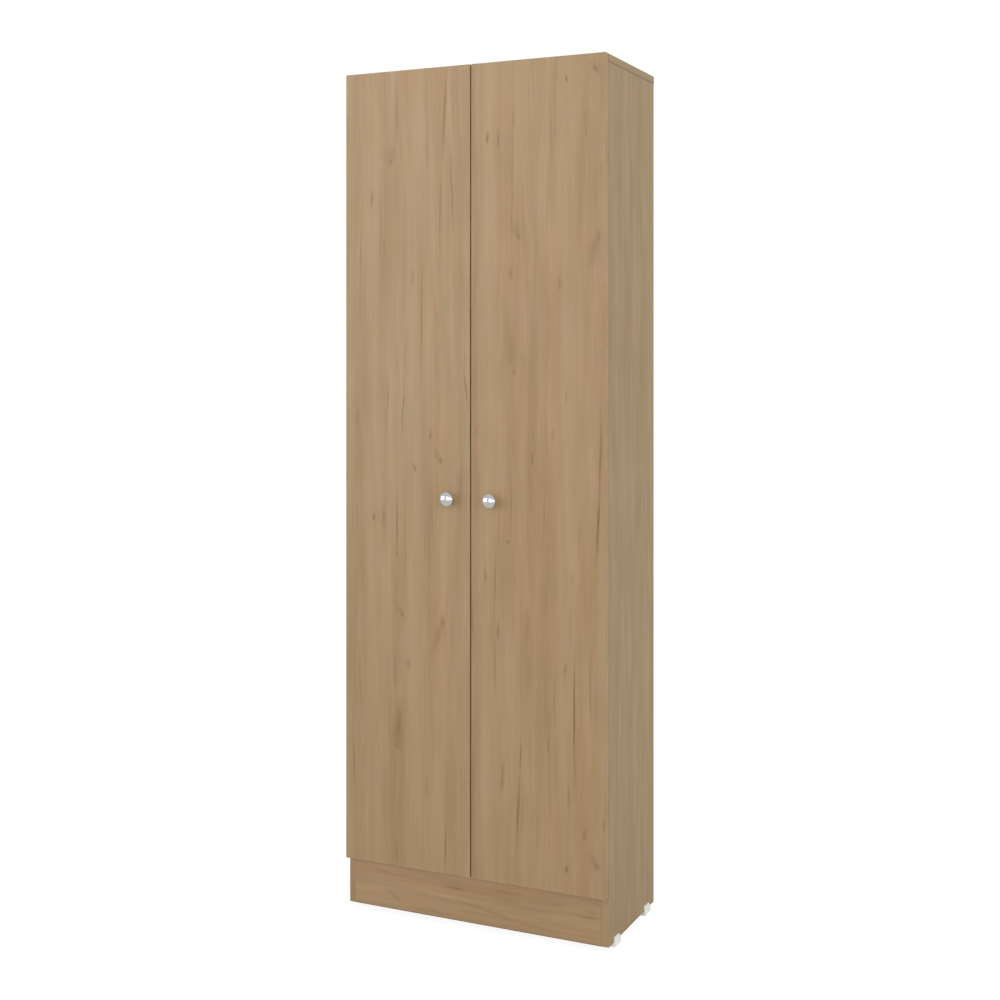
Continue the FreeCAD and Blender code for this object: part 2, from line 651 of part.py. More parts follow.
def make_arm(level):
    web_in = ARM_PIN_IN + ARM_EYE_RADIUS
    arm_front = ARM_PIN_REAR - ARM_EYE_RADIUS
    y = (arm_front, arm_front + ARM_LENGTH)
    pieces = [block((inner - web_in, inner - web_in + ARM_PLATE), y, around(level, ARM_HALF))]
    nose = [(arm_pin, ARM_EYE_RADIUS), (nose_pin, NOSE_RADIUS)]
    for side in SPREAD:
        wall_z = sorted((level + side * (ARM_HALF - ARM_PLATE), level + side * ARM_HALF))
        pieces.append(block((inner - web_in, inner - ARM_BASE_IN), y, wall_z))
        pieces.append(strap(nose, NOSE_RADIUS, wall_z))
    add("right_hinge_arms", joined(pieces))
    arm_pin_z = around(level, outer_link_to + PIN_HEAD_PROUD)
    nose_pin_z = around(level, ARM_HALF + LAYER_PLAY / 2)
    add("right_arm_pins", upright(ARM_PIN_RADIUS, arm_pin, arm_pin_z))
    add("right_arm_pins", upright(NOSE_PIN_RADIUS, nose_pin, nose_pin_z))
    drill("right_hinge_arms", upright(ARM_PIN_RADIUS + PLAY, arm_pin, arm_pin_z))
    drill("right_hinge_arms", upright(NOSE_PIN_RADIUS + PLAY, nose_pin, nose_pin_z))
    for share in ARM_SCREW_SHARES:
        seat = V(inner - web_in, PLATE_FRONT + share * PLATE_LENGTH, level)
        sizes = (ARM_SCREW_RADIUS, ARM_SCREW_LENGTH, ARM_SCREW_HEAD_RADIUS, ARM_SCREW_HEAD)
        add_both("hinge_arm_screws", screw(seat, RIGHT, *sizes))
        bore = rod(ARM_SCREW_RADIUS + PLAY, ARM_SCREW_LENGTH, seat, RIGHT)
        drill("right_hinge_arms", bore)
        drill("right_hinge_plates", bore)


def make_links(level):
    path = [(arm_pin, ARM_EYE_RADIUS), (knee, OUTER_LINK_HALF_WIDTH), (link_pin, OUTER_LINK_EYE_RADIUS)]
    for side in SPREAD:
        z = sorted((level + side * outer_link_from, level + side * outer_link_to))
        eyes = [
            upright(ARM_PIN_RADIUS + PLAY, arm_pin, z),
            upright(CUP_PIN_RADIUS + PLAY, link_pin, z),
        ]
        add("right_outer_links", strap(path, OUTER_LINK_HALF_WIDTH, z).cut(eyes))
    z = around(level, inner_link_half)
    path = [(nose_pin, INNER_LINK_EYE_RADIUS), (eye_centre, INNER_LINK_END_RADIUS)]
    eyes = [
        upright(NOSE_PIN_RADIUS + PLAY, nose_pin, z),
        upright(INNER_LINK_END_BORE, eye_centre, z),
    ]
    add("right_inner_links", strap(path, INNER_LINK_HALF_WIDTH, z).cut(eyes))


def finish_nodes():
    """Cut the drillings, mirror the right-hand nodes and move all to the origin."""
    finished = {}
    for name, shapes in nodes.items():
        cutters = drillings.get(name, [])
        bored = [shape.cut(cutters) if cutters else shape for shape in shapes]
        finished[name] = bored
        if name.startswith("right_"):
            finished[name.replace("right_", "left_")] = [mirrored(shape) for shape in bored]
    for name, shapes in finished.items():
        solids = [solid for shape in shapes for solid in shape.Solids]
        whole = solids[0] if len(solids) == 1 else Part.makeCompound(solids)
        whole.translate(origin_shift)
        finished[name] = whole
    return finished


def main():
    make_boards()
    make_shelves()
    make_fittings()
    make_foot("right_front_foot", FOOT_SET_IN)
    make_foot("right_rear_foot", SIDE_DEPTH - FOOT_SET_IN - FOOT_LENGTH)
    make_back()
    make_brackets()
    make_door()
    make_knob()
    for level in hinge_levels:
        make_cup(level)
        make_plate(level)
        make_arm(level)
        make_links(level)
    os.makedirs("parts", exist_ok=True)
    finished = finish_nodes()
    for name, shape in finished.items():
        shape.exportStep("parts/" + name + ".step")
    print(len(finished), "nodes,", sum(len(shape.Solids) for shape in finished.values()), "solids")
    return finished


made = main()
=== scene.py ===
# %% [markdown]
# # A tall storage cabinet in light oak print
# The cabinet has two full-height doors, two round chrome knobs, a kick board and small plastic
# feet. Its boards come from the imported CAD model, which is loaded as a fixed frame and already
# has the right shapes. This lesson gives every board its finish, and models again the small
# parts whose edges a CAD model leaves razor sharp.

# %% Load the cabinet
import json
import math

import bmesh
import bpy
from mathutils import Color, Matrix, Vector


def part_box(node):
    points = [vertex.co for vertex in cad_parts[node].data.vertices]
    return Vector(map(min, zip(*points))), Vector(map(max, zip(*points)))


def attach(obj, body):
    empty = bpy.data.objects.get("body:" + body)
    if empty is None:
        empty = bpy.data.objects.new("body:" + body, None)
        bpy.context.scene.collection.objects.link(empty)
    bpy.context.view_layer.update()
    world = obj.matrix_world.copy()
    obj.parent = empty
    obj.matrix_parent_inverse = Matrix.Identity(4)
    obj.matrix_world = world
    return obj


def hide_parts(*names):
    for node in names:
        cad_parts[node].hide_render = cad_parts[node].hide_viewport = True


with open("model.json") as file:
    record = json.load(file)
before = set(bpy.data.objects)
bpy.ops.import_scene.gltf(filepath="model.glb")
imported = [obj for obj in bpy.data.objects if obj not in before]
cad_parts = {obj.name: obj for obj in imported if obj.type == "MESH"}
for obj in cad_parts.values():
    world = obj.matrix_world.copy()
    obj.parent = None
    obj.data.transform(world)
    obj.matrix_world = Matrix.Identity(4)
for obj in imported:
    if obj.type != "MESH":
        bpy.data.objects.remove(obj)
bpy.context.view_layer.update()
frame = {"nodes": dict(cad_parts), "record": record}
cad_nodes = frame["nodes"]

# %% [markdown]
# ## The camera
# The photograph looks at the front from 25 degrees to the right, from about eye level. All
# uprights stay parallel in it, so the camera is level, and the cabinet fills the frame because
# the lens is shifted down as on a camera for buildings. Tilting the camera instead would make
# the uprights lean together.

# %% Set up the camera
view_lens = bpy.data.cameras.new("view_camera")
view_lens.lens = 53.23
view_lens.shift_x = 0.003
view_lens.shift_y = -0.1484
camera = bpy.data.objects.new("view_camera", view_lens)
camera.location = (1.3507, -2.9032, 1.2064)
camera.rotation_euler = (math.radians(90), 0, math.radians(24.997))
bpy.context.scene.collection.objects.link(camera)
bpy.context.scene.camera = camera
bpy.context.scene.view_settings.view_transform = "Standard"
print("camera at", [round(c, 3) for c in camera.location])

# %% [markdown]
# ## Picking colours and wiring nodes
# A colour picker shows colours as the screen does, but a shader calculates with linear light, so
# `tint` turns one into the other. The other helpers each add one kind of node to a tree: a value
# that is given goes into the socket, and a socket that is given is linked to it. They keep the
# recipes for the finishes short enough to read.

# %% Helpers for colours and shader nodes
def tint(red, green, blue):
    """A colour as the screen shows it, from 0 to 255, as linear light."""
    return (*Color((red / 255, green / 255, blue / 255)).from_srgb_to_scene_linear(), 1)


def fill_sockets(tree, node, fills):
    for socket, value in fills.items():
        if isinstance(value, bpy.types.NodeSocket):
            tree.links.new(value, node.inputs[socket])
        else:
            node.inputs[socket].default_value = value


def add_node(tree, kind, options=None, fills=None):
    node = tree.nodes.new("ShaderNode" + kind)
    for option, choice in (options or {}).items():
        setattr(node, option, choice)
    fill_sockets(tree, node, fills or {})
    return node


def coordinates(tree, name):
    return add_node(tree, "TexCoord").outputs[name]


def mix_tints(tree, share, first, second, how="MIX"):
    options = {"data_type": "RGBA", "blend_type": how}
    return add_node(tree, "Mix", options, {0: share, 6: first, 7: second}).outputs[2]


def cloud(tree, spot, detail=2.0, rough=0.5):
    """Soft random values around a half."""
    fills = {"Vector": spot, "Scale": 1.0, "Detail": detail, "Roughness": rough}
    return add_node(tree, "TexNoise", fills=fills).outputs["Fac"]


def new_finish(name):
    finish = bpy.data.materials.new(name)
    finish.use_nodes = True
    return finish, finish.node_tree


def set_shader(finish, fills):
    fill_sockets(finish.node_tree, finish.node_tree.nodes["Principled BSDF"], fills)


print("a mid grey of 128 is", round(tint(128, 128, 128)[0], 3), "in linear light")

# %% [markdown]
# ## The floor
# The photograph is cut out on pure white, so the floor has to look white without lighting the
# cabinet too strongly from below. Light Path tells the two apart: the camera sees a floor that
# glows nearly white, which also keeps the shadow around the feet faint, and every other ray
# finds a light, slightly warm grey one.

# %% Lay the floor
floor_half, floor_drop = 8, 0.0002
floor_finish, floor_tree = new_finish("pale_floor")
floor_cloud = cloud(floor_tree, coordinates(floor_tree, "Object"))
floor_grey = mix_tints(floor_tree, floor_cloud, (0.74, 0.74, 0.69, 1), (0.77, 0.77, 0.72, 1))
floor_seen = add_node(floor_tree, "LightPath").outputs["Is Camera Ray"]
set_shader(floor_finish, {
    "Base Color": mix_tints(floor_tree, floor_seen, floor_grey, (0.16, 0.16, 0.16, 1)),
    "Emission Color": mix_tints(floor_tree, floor_seen, (0, 0, 0, 1), (1, 1, 1, 1)),
    "Emission Strength": 0.90,
    "Roughness": 0.9,
})

floor_mesh = bmesh.new()
bmesh.ops.create_grid(floor_mesh, x_segments=8, y_segments=8, size=floor_half)
bmesh.ops.translate(floor_mesh, vec=(0, 0, -floor_drop), verts=floor_mesh.verts)
floor_data = bpy.data.meshes.new("floor")
floor_mesh.to_mesh(floor_data)
floor_mesh.free()
floor_data.materials.append(floor_finish)
floor = bpy.data.objects.new("floor", floor_data)
bpy.context.scene.collection.objects.link(floor)
print("floor:", len(floor_data.polygons), "squares")

# %% [markdown]
# ## Sums with nodes
# A shader has no formulas: every sum is a node of its own. These helpers write one node, or a
# few, as one call. `fade` is the most useful of them. It turns any value into a soft step, and
# so makes edges, masks and ranges that never look cut with a knife.

# %% Helpers for sums
def axes_of(tree, spot):
    return add_node(tree, "SeparateXYZ", fills={0: spot}).outputs


def calc(tree, operation, *values):
    return add_node(tree, "Math", {"operation": operation}, dict(enumerate(values))).outputs[0]


def product(tree, whole, *values):
    for value in values:
        whole = calc(tree, "MULTIPLY", whole, value)
    return whole


def fade(tree, value, low, high, start=0.0, stop=1.0):
    """Go softly from start to stop while the value goes from low to high."""
    fills = {0: value, 1: low, 2: high, 3: start, 4: stop}
    return add_node(tree, "MapRange", {"interpolation_type": "SMOOTHSTEP"}, fills).outputs[0]


def in_range(tree, value, low, high, soft):
    """One between low and high, and softly zero outside."""
    above = fade(tree, value, low - soft, low + soft)
    return product(tree, above, fade(tree, value, high + soft, high - soft))


# %% [markdown]
# ## The light
# The knobs are small mirrors, so they show how the room of the photograph is lit: two wide soft
# panels stand in front, with a gap between them, and all the rest is light grey. The coated doors
# mirror the same panels very faintly, as a pale veil that ends below the knobs. A third panel on
# the right lights the side. They are drawn in the sky by direction: how high and how far sideways
# a ray looks, both divided by how far forwards it looks, gives the straight edges of a flat panel.

# %% Shape a soft panel in the sky
world = bpy.data.worlds.new("pale_room")
bpy.context.scene.world = world
world.use_nodes = True
sky_tree = world.node_tree
sky_tree.nodes.clear()
looking = axes_of(sky_tree, coordinates(sky_tree, "Object"))
panel_foot, panel_edge = -0.3, 0.02


def flat_panel(degrees, start, stop, top, soft):
    """One where a ray meets a panel that stands some degrees right of straight ahead."""
    angle = math.radians(degrees)
    forwards = product(sky_tree, looking["Y"], -math.cos(angle))
    forwards = calc(sky_tree, "MULTIPLY_ADD", looking["X"], math.sin(angle), forwards)
    sideways = product(sky_tree, looking["Y"], math.sin(angle))
    sideways = calc(sky_tree, "MULTIPLY_ADD", looking["X"], math.cos(angle), sideways)
    wide = in_range(sky_tree, calc(sky_tree, "DIVIDE", sideways, forwards), start, stop, soft)
    upwards = calc(sky_tree, "DIVIDE", looking["Z"], forwards)
    high = in_range(sky_tree, upwards, panel_foot, top, panel_edge)
    ahead = calc(sky_tree, "GREATER_THAN", forwards, 0.05)
    return product(sky_tree, wide, high, ahead)


print("the sky starts with", len(sky_tree.nodes), "nodes")

# %% [markdown]
# ## Hanging the panels
# Lamps would also do, but the knobs would then mirror their hard outlines, and the doors would
# have to be lit evenly by hand. Panels in the sky light everything from far away and equally.
# The camera alone sees plain white behind the cabinet, as in the photograph.

# %% Hang the soft panels
left_panel = flat_panel(-15, -1.8, -0.28, 0.62, 0.10)
right_panel = flat_panel(-15, 0.26, 5.0, 0.62, 0.10)
front_panels = calc(sky_tree, "ADD", left_panel, right_panel)
side_panel = product(sky_tree, flat_panel(102, -0.45, 0.45, 1.6, 0.05), 0.49)
panels = calc(sky_tree, "ADD", front_panels, side_panel)
sky_tint = mix_tints(sky_tree, panels, (0.58, 0.58, 0.585, 1), (2.74, 2.74, 2.79, 1))
sky_seen = add_node(sky_tree, "LightPath").outputs["Is Camera Ray"]
sky_tint = mix_tints(sky_tree, sky_seen, sky_tint, (1.02, 1.02, 1.02, 1))
sky_light = add_node(sky_tree, "Background", fills={"Color": sky_tint, "Strength": 1.0})
add_node(sky_tree, "OutputWorld", fills={"Surface": sky_light.outputs[0]})
print("sky nodes:", len(sky_tree.nodes))

# %% [markdown]
# ## The oak print
# The boards aren't solid oak: a printed paper under a clear coat carries the grain. A picture of
# oak would repeat and blur, so the print is made of noise that is stretched along the grain,
# because a tree grows far longer than it is wide. A little sideways drift keeps its lines from
# being ruled. All boards share this one group, and a seed gives each its own piece of the print.

# %% Stretch and bend the grain
def new_group(name, inputs, outputs):
    group = bpy.data.node_groups.new(name, "ShaderNodeTree")
    for side, sockets in (("INPUT", inputs), ("OUTPUT", outputs)):
        for socket, kind in sockets.items():
            group.interface.new_socket(socket, in_out=side, socket_type="NodeSocket" + kind)
    return group, group.nodes.new("NodeGroupInput"), group.nodes.new("NodeGroupOutput")


oak_print, entry, result = new_group(
    "oak_print",
    {"Vector": "Vector", "Seed": "Float", "Pink": "Color", "Green": "Color"},
    {"Color": "Color", "Roughness": "Float", "Height": "Float"},
)
grain = axes_of(oak_print, entry.outputs["Vector"])


def stretched(across_scale, along_scale, across=None):
    """A spot for noise, stretched along the grain: scales are cells in each metre."""
    wide = product(oak_print, across or grain["X"], across_scale)
    long = product(oak_print, grain["Z"], along_scale)
    fills = {"X": wide, "Y": entry.outputs["Seed"], "Z": long}
    return add_node(oak_print, "CombineXYZ", fills=fills).outputs[0]


drift_reach, wander_reach = 0.03, 0.014
drift = calc(oak_print, "SUBTRACT", cloud(oak_print, stretched(2.5, 1.7), 1.0), 0.5)
drifted = calc(oak_print, "MULTIPLY_ADD", drift, drift_reach, grain["X"])
wander = calc(oak_print, "SUBTRACT", cloud(oak_print, stretched(11, 6.5), 1.0), 0.5)
drifted = calc(oak_print, "MULTIPLY_ADD", wander, wander_reach, drifted)


def print_layer(across_scale, along_scale, darkest, lightest, detail=2.0, rough=0.5):
    """Streaks that follow the drift: a factor for the tone, from the darkest to the lightest."""
    noise = cloud(oak_print, stretched(across_scale, along_scale, drifted), detail, rough)
    return fade(oak_print, noise, 0.3, 0.7, darkest, lightest)


print("nodes that bend the grain:", len(oak_print.nodes))

# %% [markdown]
# ## The layers of the print
# Seen close the print has many layers. Soft bands of greenish and pinkish tan run along the
# board, streaks from wide to hair-fine lie on them, thin dark lines wander through, and tiny
# pores are pressed into the coat. Each layer is a factor close to one, and all are multiplied,
# as inks are that are printed over each other.

# %% Print the layers
bands = fade(oak_print, cloud(oak_print, stretched(26, 0.8, drifted)), 0.40, 0.60)
oak_tone = mix_tints(oak_print, bands, entry.outputs["Pink"], entry.outputs["Green"])
hair_fine = print_layer(900, 7.0, 0.975, 1.02, 2.0, 0.6)
layers = [
    print_layer(9, 0.7, 0.98, 1.02, 1.5),
    print_layer(50, 3.0, 0.94, 1.05),
    print_layer(125, 4.5, 0.96, 1.033, 2.0, 0.55),
    hair_fine,
    print_layer(30, 8.0, 0.968, 1.03),
]
calm = fade(oak_print, cloud(oak_print, stretched(8, 2.6), 1.0), 0.35, 0.65, 0.25, 1.0)
streaks = print_layer(240, 5.0, -0.05, 0.04, 3.0, 0.6)
layers.append(calc(oak_print, "MULTIPLY_ADD", streaks, calm, 1.0))
line_half, line_depth, pore_depth = 0.02, -0.10, -0.05
line_noise = cloud(oak_print, stretched(42, 0.55, drifted), 0.0)
line_field = calc(oak_print, "ABSOLUTE", calc(oak_print, "SUBTRACT", line_noise, 0.5))
line_place = fade(oak_print, cloud(oak_print, stretched(13, 3.1), 1.0), 0.54, 0.64)
dark_lines = fade(oak_print, line_field, 0.0, line_half, 1.0, 0.0)
dark_lines = product(oak_print, dark_lines, line_place)
layers.append(calc(oak_print, "MULTIPLY_ADD", dark_lines, line_depth, 1.0))
pores = fade(oak_print, cloud(oak_print, stretched(1500, 60, drifted), 1.0), 0.60, 0.70)
layers.append(calc(oak_print, "MULTIPLY_ADD", pores, pore_depth, 1.0))
shade = product(oak_print, *layers)
print("layers in the print:", len(layers))

# %% [markdown]
# ## The colour of the print
# Wood that is darker is also browner, so blue is raised to a higher power than red, and two
# more clouds let red and blue stray a little on their own. Pores are the deepest part of the
# height, and darker wood is slightly duller.

# %% Tint the print
blush = print_layer(70, 6.0, 0.98, 1.02)
honey = print_layer(55, 9.0, 0.96, 1.04)
red_shade = product(oak_print, calc(oak_print, "POWER", shade, 0.85), blush)
blue_shade = product(oak_print, calc(oak_print, "POWER", shade, 1.5), honey)
shades = {0: red_shade, 1: shade, 2: blue_shade}
shade_tint = add_node(oak_print, "CombineColor", fills=shades).outputs[0]
fill_sockets(oak_print, result, {
    "Color": mix_tints(oak_print, 1.0, oak_tone, shade_tint, "MULTIPLY"),
    "Roughness": fade(oak_print, shade, 0.90, 1.10, 0.37, 0.30),
    "Height": calc(oak_print, "MULTIPLY_ADD", pores, -0.6, hair_fine),
})
print("oak print nodes:", len(oak_print.nodes))

# %% [markdown]
# ## Knots, flecks and long dark lines
# The larger marks sit at their own places on each door, so noise can't make them. One group
# draws a soft-edged oval mark at a given place, and every mark is such an oval: a knot is small
# and nearly round, a dark line is a few millimetres wide and very tall, and a lean shifts its
# top sideways. The group gives only a mask, and the board decides how much it darkens there.

# %% Make one kind of mark
grain_mark, entry, result = new_group(
    "grain_mark",
    {"Vector": "Vector", "Across": "Float", "Along": "Float", "Half Width": "Float",
     "Half Length": "Float", "Lean": "Float", "Strength": "Float"},
    {"Mask": "Float"},
)
mark_spot = axes_of(grain_mark, entry.outputs["Vector"])
off_along = calc(grain_mark, "SUBTRACT", mark_spot["Z"], entry.outputs["Along"])
off_across = calc(grain_mark, "SUBTRACT", mark_spot["X"], entry.outputs["Across"])
leaning = product(grain_mark, off_along, entry.outputs["Lean"])
off_across = calc(grain_mark, "SUBTRACT", off_across, leaning)
wide_share = calc(grain_mark, "DIVIDE", off_across, entry.outputs["Half Width"])
long_share = calc(grain_mark, "DIVIDE", off_along, entry.outputs["Half Length"])
wide_share = calc(grain_mark, "POWER", wide_share, 2.0)
long_share = calc(grain_mark, "POWER", long_share, 2.0)
reach = calc(grain_mark, "ADD", wide_share, long_share)
oval = calc(grain_mark, "EXPONENT", product(grain_mark, reach, -1.4))
mask = product(grain_mark, oval, entry.outputs["Strength"])
fill_sockets(grain_mark, result, {"Mask": mask})
print("mark nodes:", len(grain_mark.nodes))

# %% [markdown]
# ## The sawn edges of the boards
# Where no strip covers an edge, and inside every bored hole, the chipboard core shows: flat
# chips of all shades of wood pressed together with glue, rough to the touch. Voronoi cells give
# the chips, each with its own shade, and the borders between cells are the dark gaps.

# %% Make the chipboard core
chip_core, entry, result = new_group(
    "chip_core", {"Vector": "Vector"}, {"Color": "Color", "Roughness": "Float", "Height": "Float"}
)
chip_noise = {"Vector": entry.outputs["Vector"], "Scale": 160.0}
chip_warp = add_node(chip_core, "TexNoise", fills=chip_noise)
chip_spot = mix_tints(chip_core, 0.0015, entry.outputs["Vector"], chip_warp.outputs["Color"], "ADD")
chip_cells = {"Vector": chip_spot, "Scale": 420.0}
chips = add_node(chip_core, "TexVoronoi", fills=chip_cells).outputs
chip_shade = add_node(chip_core, "SeparateColor", fills={0: chips["Color"]}).outputs[0]
chip_borders = add_node(chip_core, "TexVoronoi", {"feature": "DISTANCE_TO_EDGE"}, chip_cells)
chip_gap = fade(chip_core, chip_borders.outputs["Distance"], 0.0, 0.12)
chip_tint = mix_tints(chip_core, chip_shade, tint(139, 103, 66), tint(205, 172, 124))
fill_sockets(chip_core, result, {
    "Color": mix_tints(chip_core, chip_gap, tint(96, 68, 42), chip_tint),
    "Roughness": fade(chip_core, chip_shade, 0.0, 1.0, 0.85, 0.95),
    "Height": product(chip_core, chip_gap, chip_shade),
})
print("chipboard nodes:", len(chip_core.nodes))

# %% [markdown]
# ## Drawing the marks
# Each board has its own lists of marks. They give sizes in millimetres and strengths in percent,
# which are easy to read off a picture, and a lean where there is one. Marks drawn on bare
# coordinates would be perfect ovals, so the spot is first shifted by a little noise, and fine
# fibres run through them. The coordinates are the Object's, so the print keeps its real scale
# and stays on a door that swings open.

# %% Helpers that draw marks
def times(tree, spot, factors):
    """Multiply each of a spot's coordinates by its own factor."""
    return add_node(tree, "VectorMath", {"operation": "MULTIPLY"}, {0: spot, 1: factors}).outputs[0]


def use_group(tree, group, fills):
    return add_node(tree, "Group", {"node_tree": group}, fills).outputs


def read_grain(tree, across, along):
    """Object coordinates turned so that X runs across the grain and Z along it."""
    spot = coordinates(tree, "Object")
    axes = axes_of(tree, spot)
    fills = {"X": axes[across], "Z": axes[along]}
    return spot, add_node(tree, "CombineXYZ", fills=fills).outputs[0]


def roughen_spot(tree, grain_spot):
    """Shift each spot by a millimetre or two, so that marks get ragged edges."""
    cells = times(tree, grain_spot, (70, 1, 22))
    fills = {"Vector": cells, "Scale": 1.0, "Detail": 3.0, "Roughness": 0.6}
    shift = add_node(tree, "TexNoise", fills=fills).outputs["Color"]
    shift = add_node(tree, "VectorMath", {"operation": "SUBTRACT"}, {0: shift, 1: (0.5, 0.5, 0.5)})
    shift = times(tree, shift.outputs[0], (0.007, 0, 0.022))
    return add_node(tree, "VectorMath", {"operation": "ADD"}, {0: grain_spot, 1: shift}).outputs[0]


def add_marks(tree, grain_spot, marks, ragged):
    """The strongest mark at each spot. A row is across, along, half sizes, percent, lean."""
    marked_spot = roughen_spot(tree, grain_spot) if ragged else grain_spot
    whole = None
    for across, along, half_width, half_length, percent, *lean in marks:
        mask = use_group(tree, grain_mark, {
            "Vector": marked_spot, "Across": across / 1000, "Along": along / 1000,
            "Half Width": half_width / 1000, "Half Length": half_length / 1000,
            "Lean": lean[0] if lean else 0, "Strength": percent / 100,
        })["Mask"]
        whole = mask if whole is None else calc(tree, "MAXIMUM", whole, mask)
    fibres = cloud(tree, times(tree, grain_spot, (420, 1, 9)))
    return product(tree, whole, fade(tree, fibres, 0.3, 0.7, 0.75, 1.3))


# %% [markdown]
# ## A finish with the print
# Boards, strips and back panels all carry the same print, and differ in their tans and in the
# marks that are drawn on it. Pale flames are mixed in first, then the brown marks, then the
# darkest brown for the seams. The clear coat reflects a little less than glass would.

# %% Helper for a printed finish
board_tans = (tint(164, 134, 99), tint(164, 137, 102))
mark_brown = tint(107, 80, 34)
seam_brown = tint(70, 48, 24)
pale_tan = tint(169, 146, 111)


def printed_finish(name, across, along, seed, tans=board_tans, pale=(), marks=(), seams=()):
    """A new finish with the print, and the print's colour once all marks are drawn on it."""
    finish, tree = new_finish(name)
    set_shader(finish, {"Specular IOR Level": 0.45})
    spot, grain_spot = read_grain(tree, across, along)
    fills = {"Vector": grain_spot, "Seed": seed, "Pink": tans[0], "Green": tans[1]}
    oak = use_group(tree, oak_print, fills)
    colour = oak["Color"]
    for rows, ink in ((pale, pale_tan), (marks, mark_brown), (seams, seam_brown)):
        if rows:
            drawn = add_marks(tree, grain_spot, rows, rows is not seams)
            colour = mix_tints(tree, drawn, colour, ink)
    return finish, tree, spot, oak, colour


print("pink tan in linear light:", [round(c, 3) for c in board_tans[0]])

# %% [markdown]
# ## A finish for each board
# One recipe dresses every board, and is told which way the grain runs and which way the large
# coated faces look. The face's own direction tells coated from sawn: large faces get the print,
# and all others the chipboard core. So one finish serves the whole board, bored holes and all,
# and no face has to be picked by hand.

# %% Helpers that dress a board
def bump_from(tree, height, distance):
    return add_node(tree, "Bump", fills={"Height": height, "Distance": distance}).outputs[0]


def facing(tree, axis):
    """How far a face looks along an axis, from -1 to 1."""
    return axes_of(tree, coordinates(tree, "Normal"))[axis]


def blend(tree, share, first, second):
    """Go from the first value to the second while the share goes from zero to one."""
    return calc(tree, "MULTIPLY_ADD", share, calc(tree, "SUBTRACT", second, first), first)


def board_finish(name, across, along, face, seed, **drawn):
    finish, tree, spot, oak, colour = printed_finish(name, across, along, seed, **drawn)
    core = use_group(tree, chip_core, {"Vector": spot})
    coated = fade(tree, calc(tree, "ABSOLUTE", facing(tree, face)), 0.85, 0.95)
    height = blend(tree, coated, core["Height"], product(tree, oak["Height"], 0.10))
    set_shader(finish, {
        "Base Color": mix_tints(tree, coated, core["Color"], colour),
        "Roughness": blend(tree, coated, core["Roughness"], oak["Roughness"]),
        "Normal": bump_from(tree, height, 0.0003),
    })
    return finish


def dress(node, finish):
    """Give a CAD node its finish in place of the flat one that it came with."""
    mesh = cad_nodes[node].data
    mesh.materials.clear()
    mesh.materials.append(finish)


print("a board takes nodes from", oak_print.name, "and", chip_core.name)

# %% [markdown]
# ## The left door
# The doors are what the eye meets first, so their marks follow the photograph: where a knot
# sits, how long a dark line runs and which way it leans. Each knot is a small dark core, and the
# long lines are ovals stretched until only a hair is left. The darker and the pale bands are
# drawn in the same way, very tall and wide, and the pale ones are mixed with a lighter tone.

# %% Dress the left door
left_marks = [
    (-188, 1613, 7, 9, 46), (-186, 1625, 16, 34, 25), (-176, 1710, 6, 75, 33),
    (-62, 1695, 3, 110, 49, 0.055), (-71, 1520, 3.5, 90, 27, 0.04), (-44, 1545, 2.6, 90, 54, -0.05),
    (-35, 1420, 6, 60, 8, -0.04), (-214, 1465, 2.2, 130, 39), (-236, 1535, 4, 20, 46, 0.1),
    (-206, 1430, 4, 18, 40), (-136, 1364, 5, 17, 31, 0.1), (-115, 1280, 2.4, 150, 47, 0.008),
    (-256, 1780, 4, 14, 18), (-80, 1280, 4, 18, 23), (-257, 1582, 4, 14, 14),
    (-160, 1085, 2, 68, 66, 0.06), (-11, 1129, 2.4, 45, 58, -0.1), (-13, 1192, 4, 40, 22),
    (-271, 1062, 5, 28, 34), (-94, 1029, 4, 11, 48, 0.2), (-71, 977, 5, 8, 56, -0.2),
    (-76, 986, 9, 21, 23, -0.35), (-132, 960, 3.4, 8, 64, -0.2), (-231, 852, 3.4, 9, 74),
    (-218, 857, 24, 34, 8), (-206, 850, 6, 28, 33), (-174, 830, 2.2, 80, 50, 0.01),
    (-176, 690, 2.4, 80, 29, 0.01), (-174, 775, 3, 9, 54), (-163, 648, 4.5, 8, 58, -0.2),
    (-167, 656, 6, 14, 26, -0.4), (-113, 935, 5, 44, 11), (-91, 850, 3, 50, 36, -0.02),
    (-66, 636, 7, 16, 42, 0.1), (-76, 606, 12, 40, 31, 0.25), (-80, 590, 5, 14, 24, 0.1),
    (-266, 520, 2.8, 110, 27, -0.04), (-280, 326, 2.4, 50, 51, -0.06), (-179, 525, 8, 70, 27),
    (-172, 408, 14, 62, 49, 0.05), (-175, 369, 7, 16, 51), (-168, 363, 5, 12, 40, 0.2),
    (-257, 331, 5, 28, 22), (-147, 542, 5, 14, 32), (-54, 290, 4, 60, 19, 0.02),
    (-59, 158, 2.4, 56, 63, 0.04), (-174, 138, 2.2, 34, 38), (-182, 250, 6, 90, 14),
    (-256, 250, 5, 45, 14), (-103, 286, 4, 30, 24), (-197, 1114, 3, 50, 31, 0.02),
    (-264, 500, 3, 110, 23, -0.05), (-263, 1420, 3, 70, 26), (-257, 740, 3, 75, 21, 0.01),
    (-103, 1630, 3, 42, 26), (-154, 800, 2.6, 110, 31), (-155, 1190, 3, 60, 25, 0.05),
]
left_bands = [
    (-272, 900, 24, 640, 13), (-177, 1640, 15, 190, 12), (-177, 380, 16, 330, 14),
    (-22, 900, 26, 1500, 10), (-205, 1400, 24, 170, 8), (-116, 1350, 13, 190, 9),
    (-92, 800, 22, 170, 14), (-36, 790, 16, 150, 10), (-268, 1340, 18, 160, 6),
]
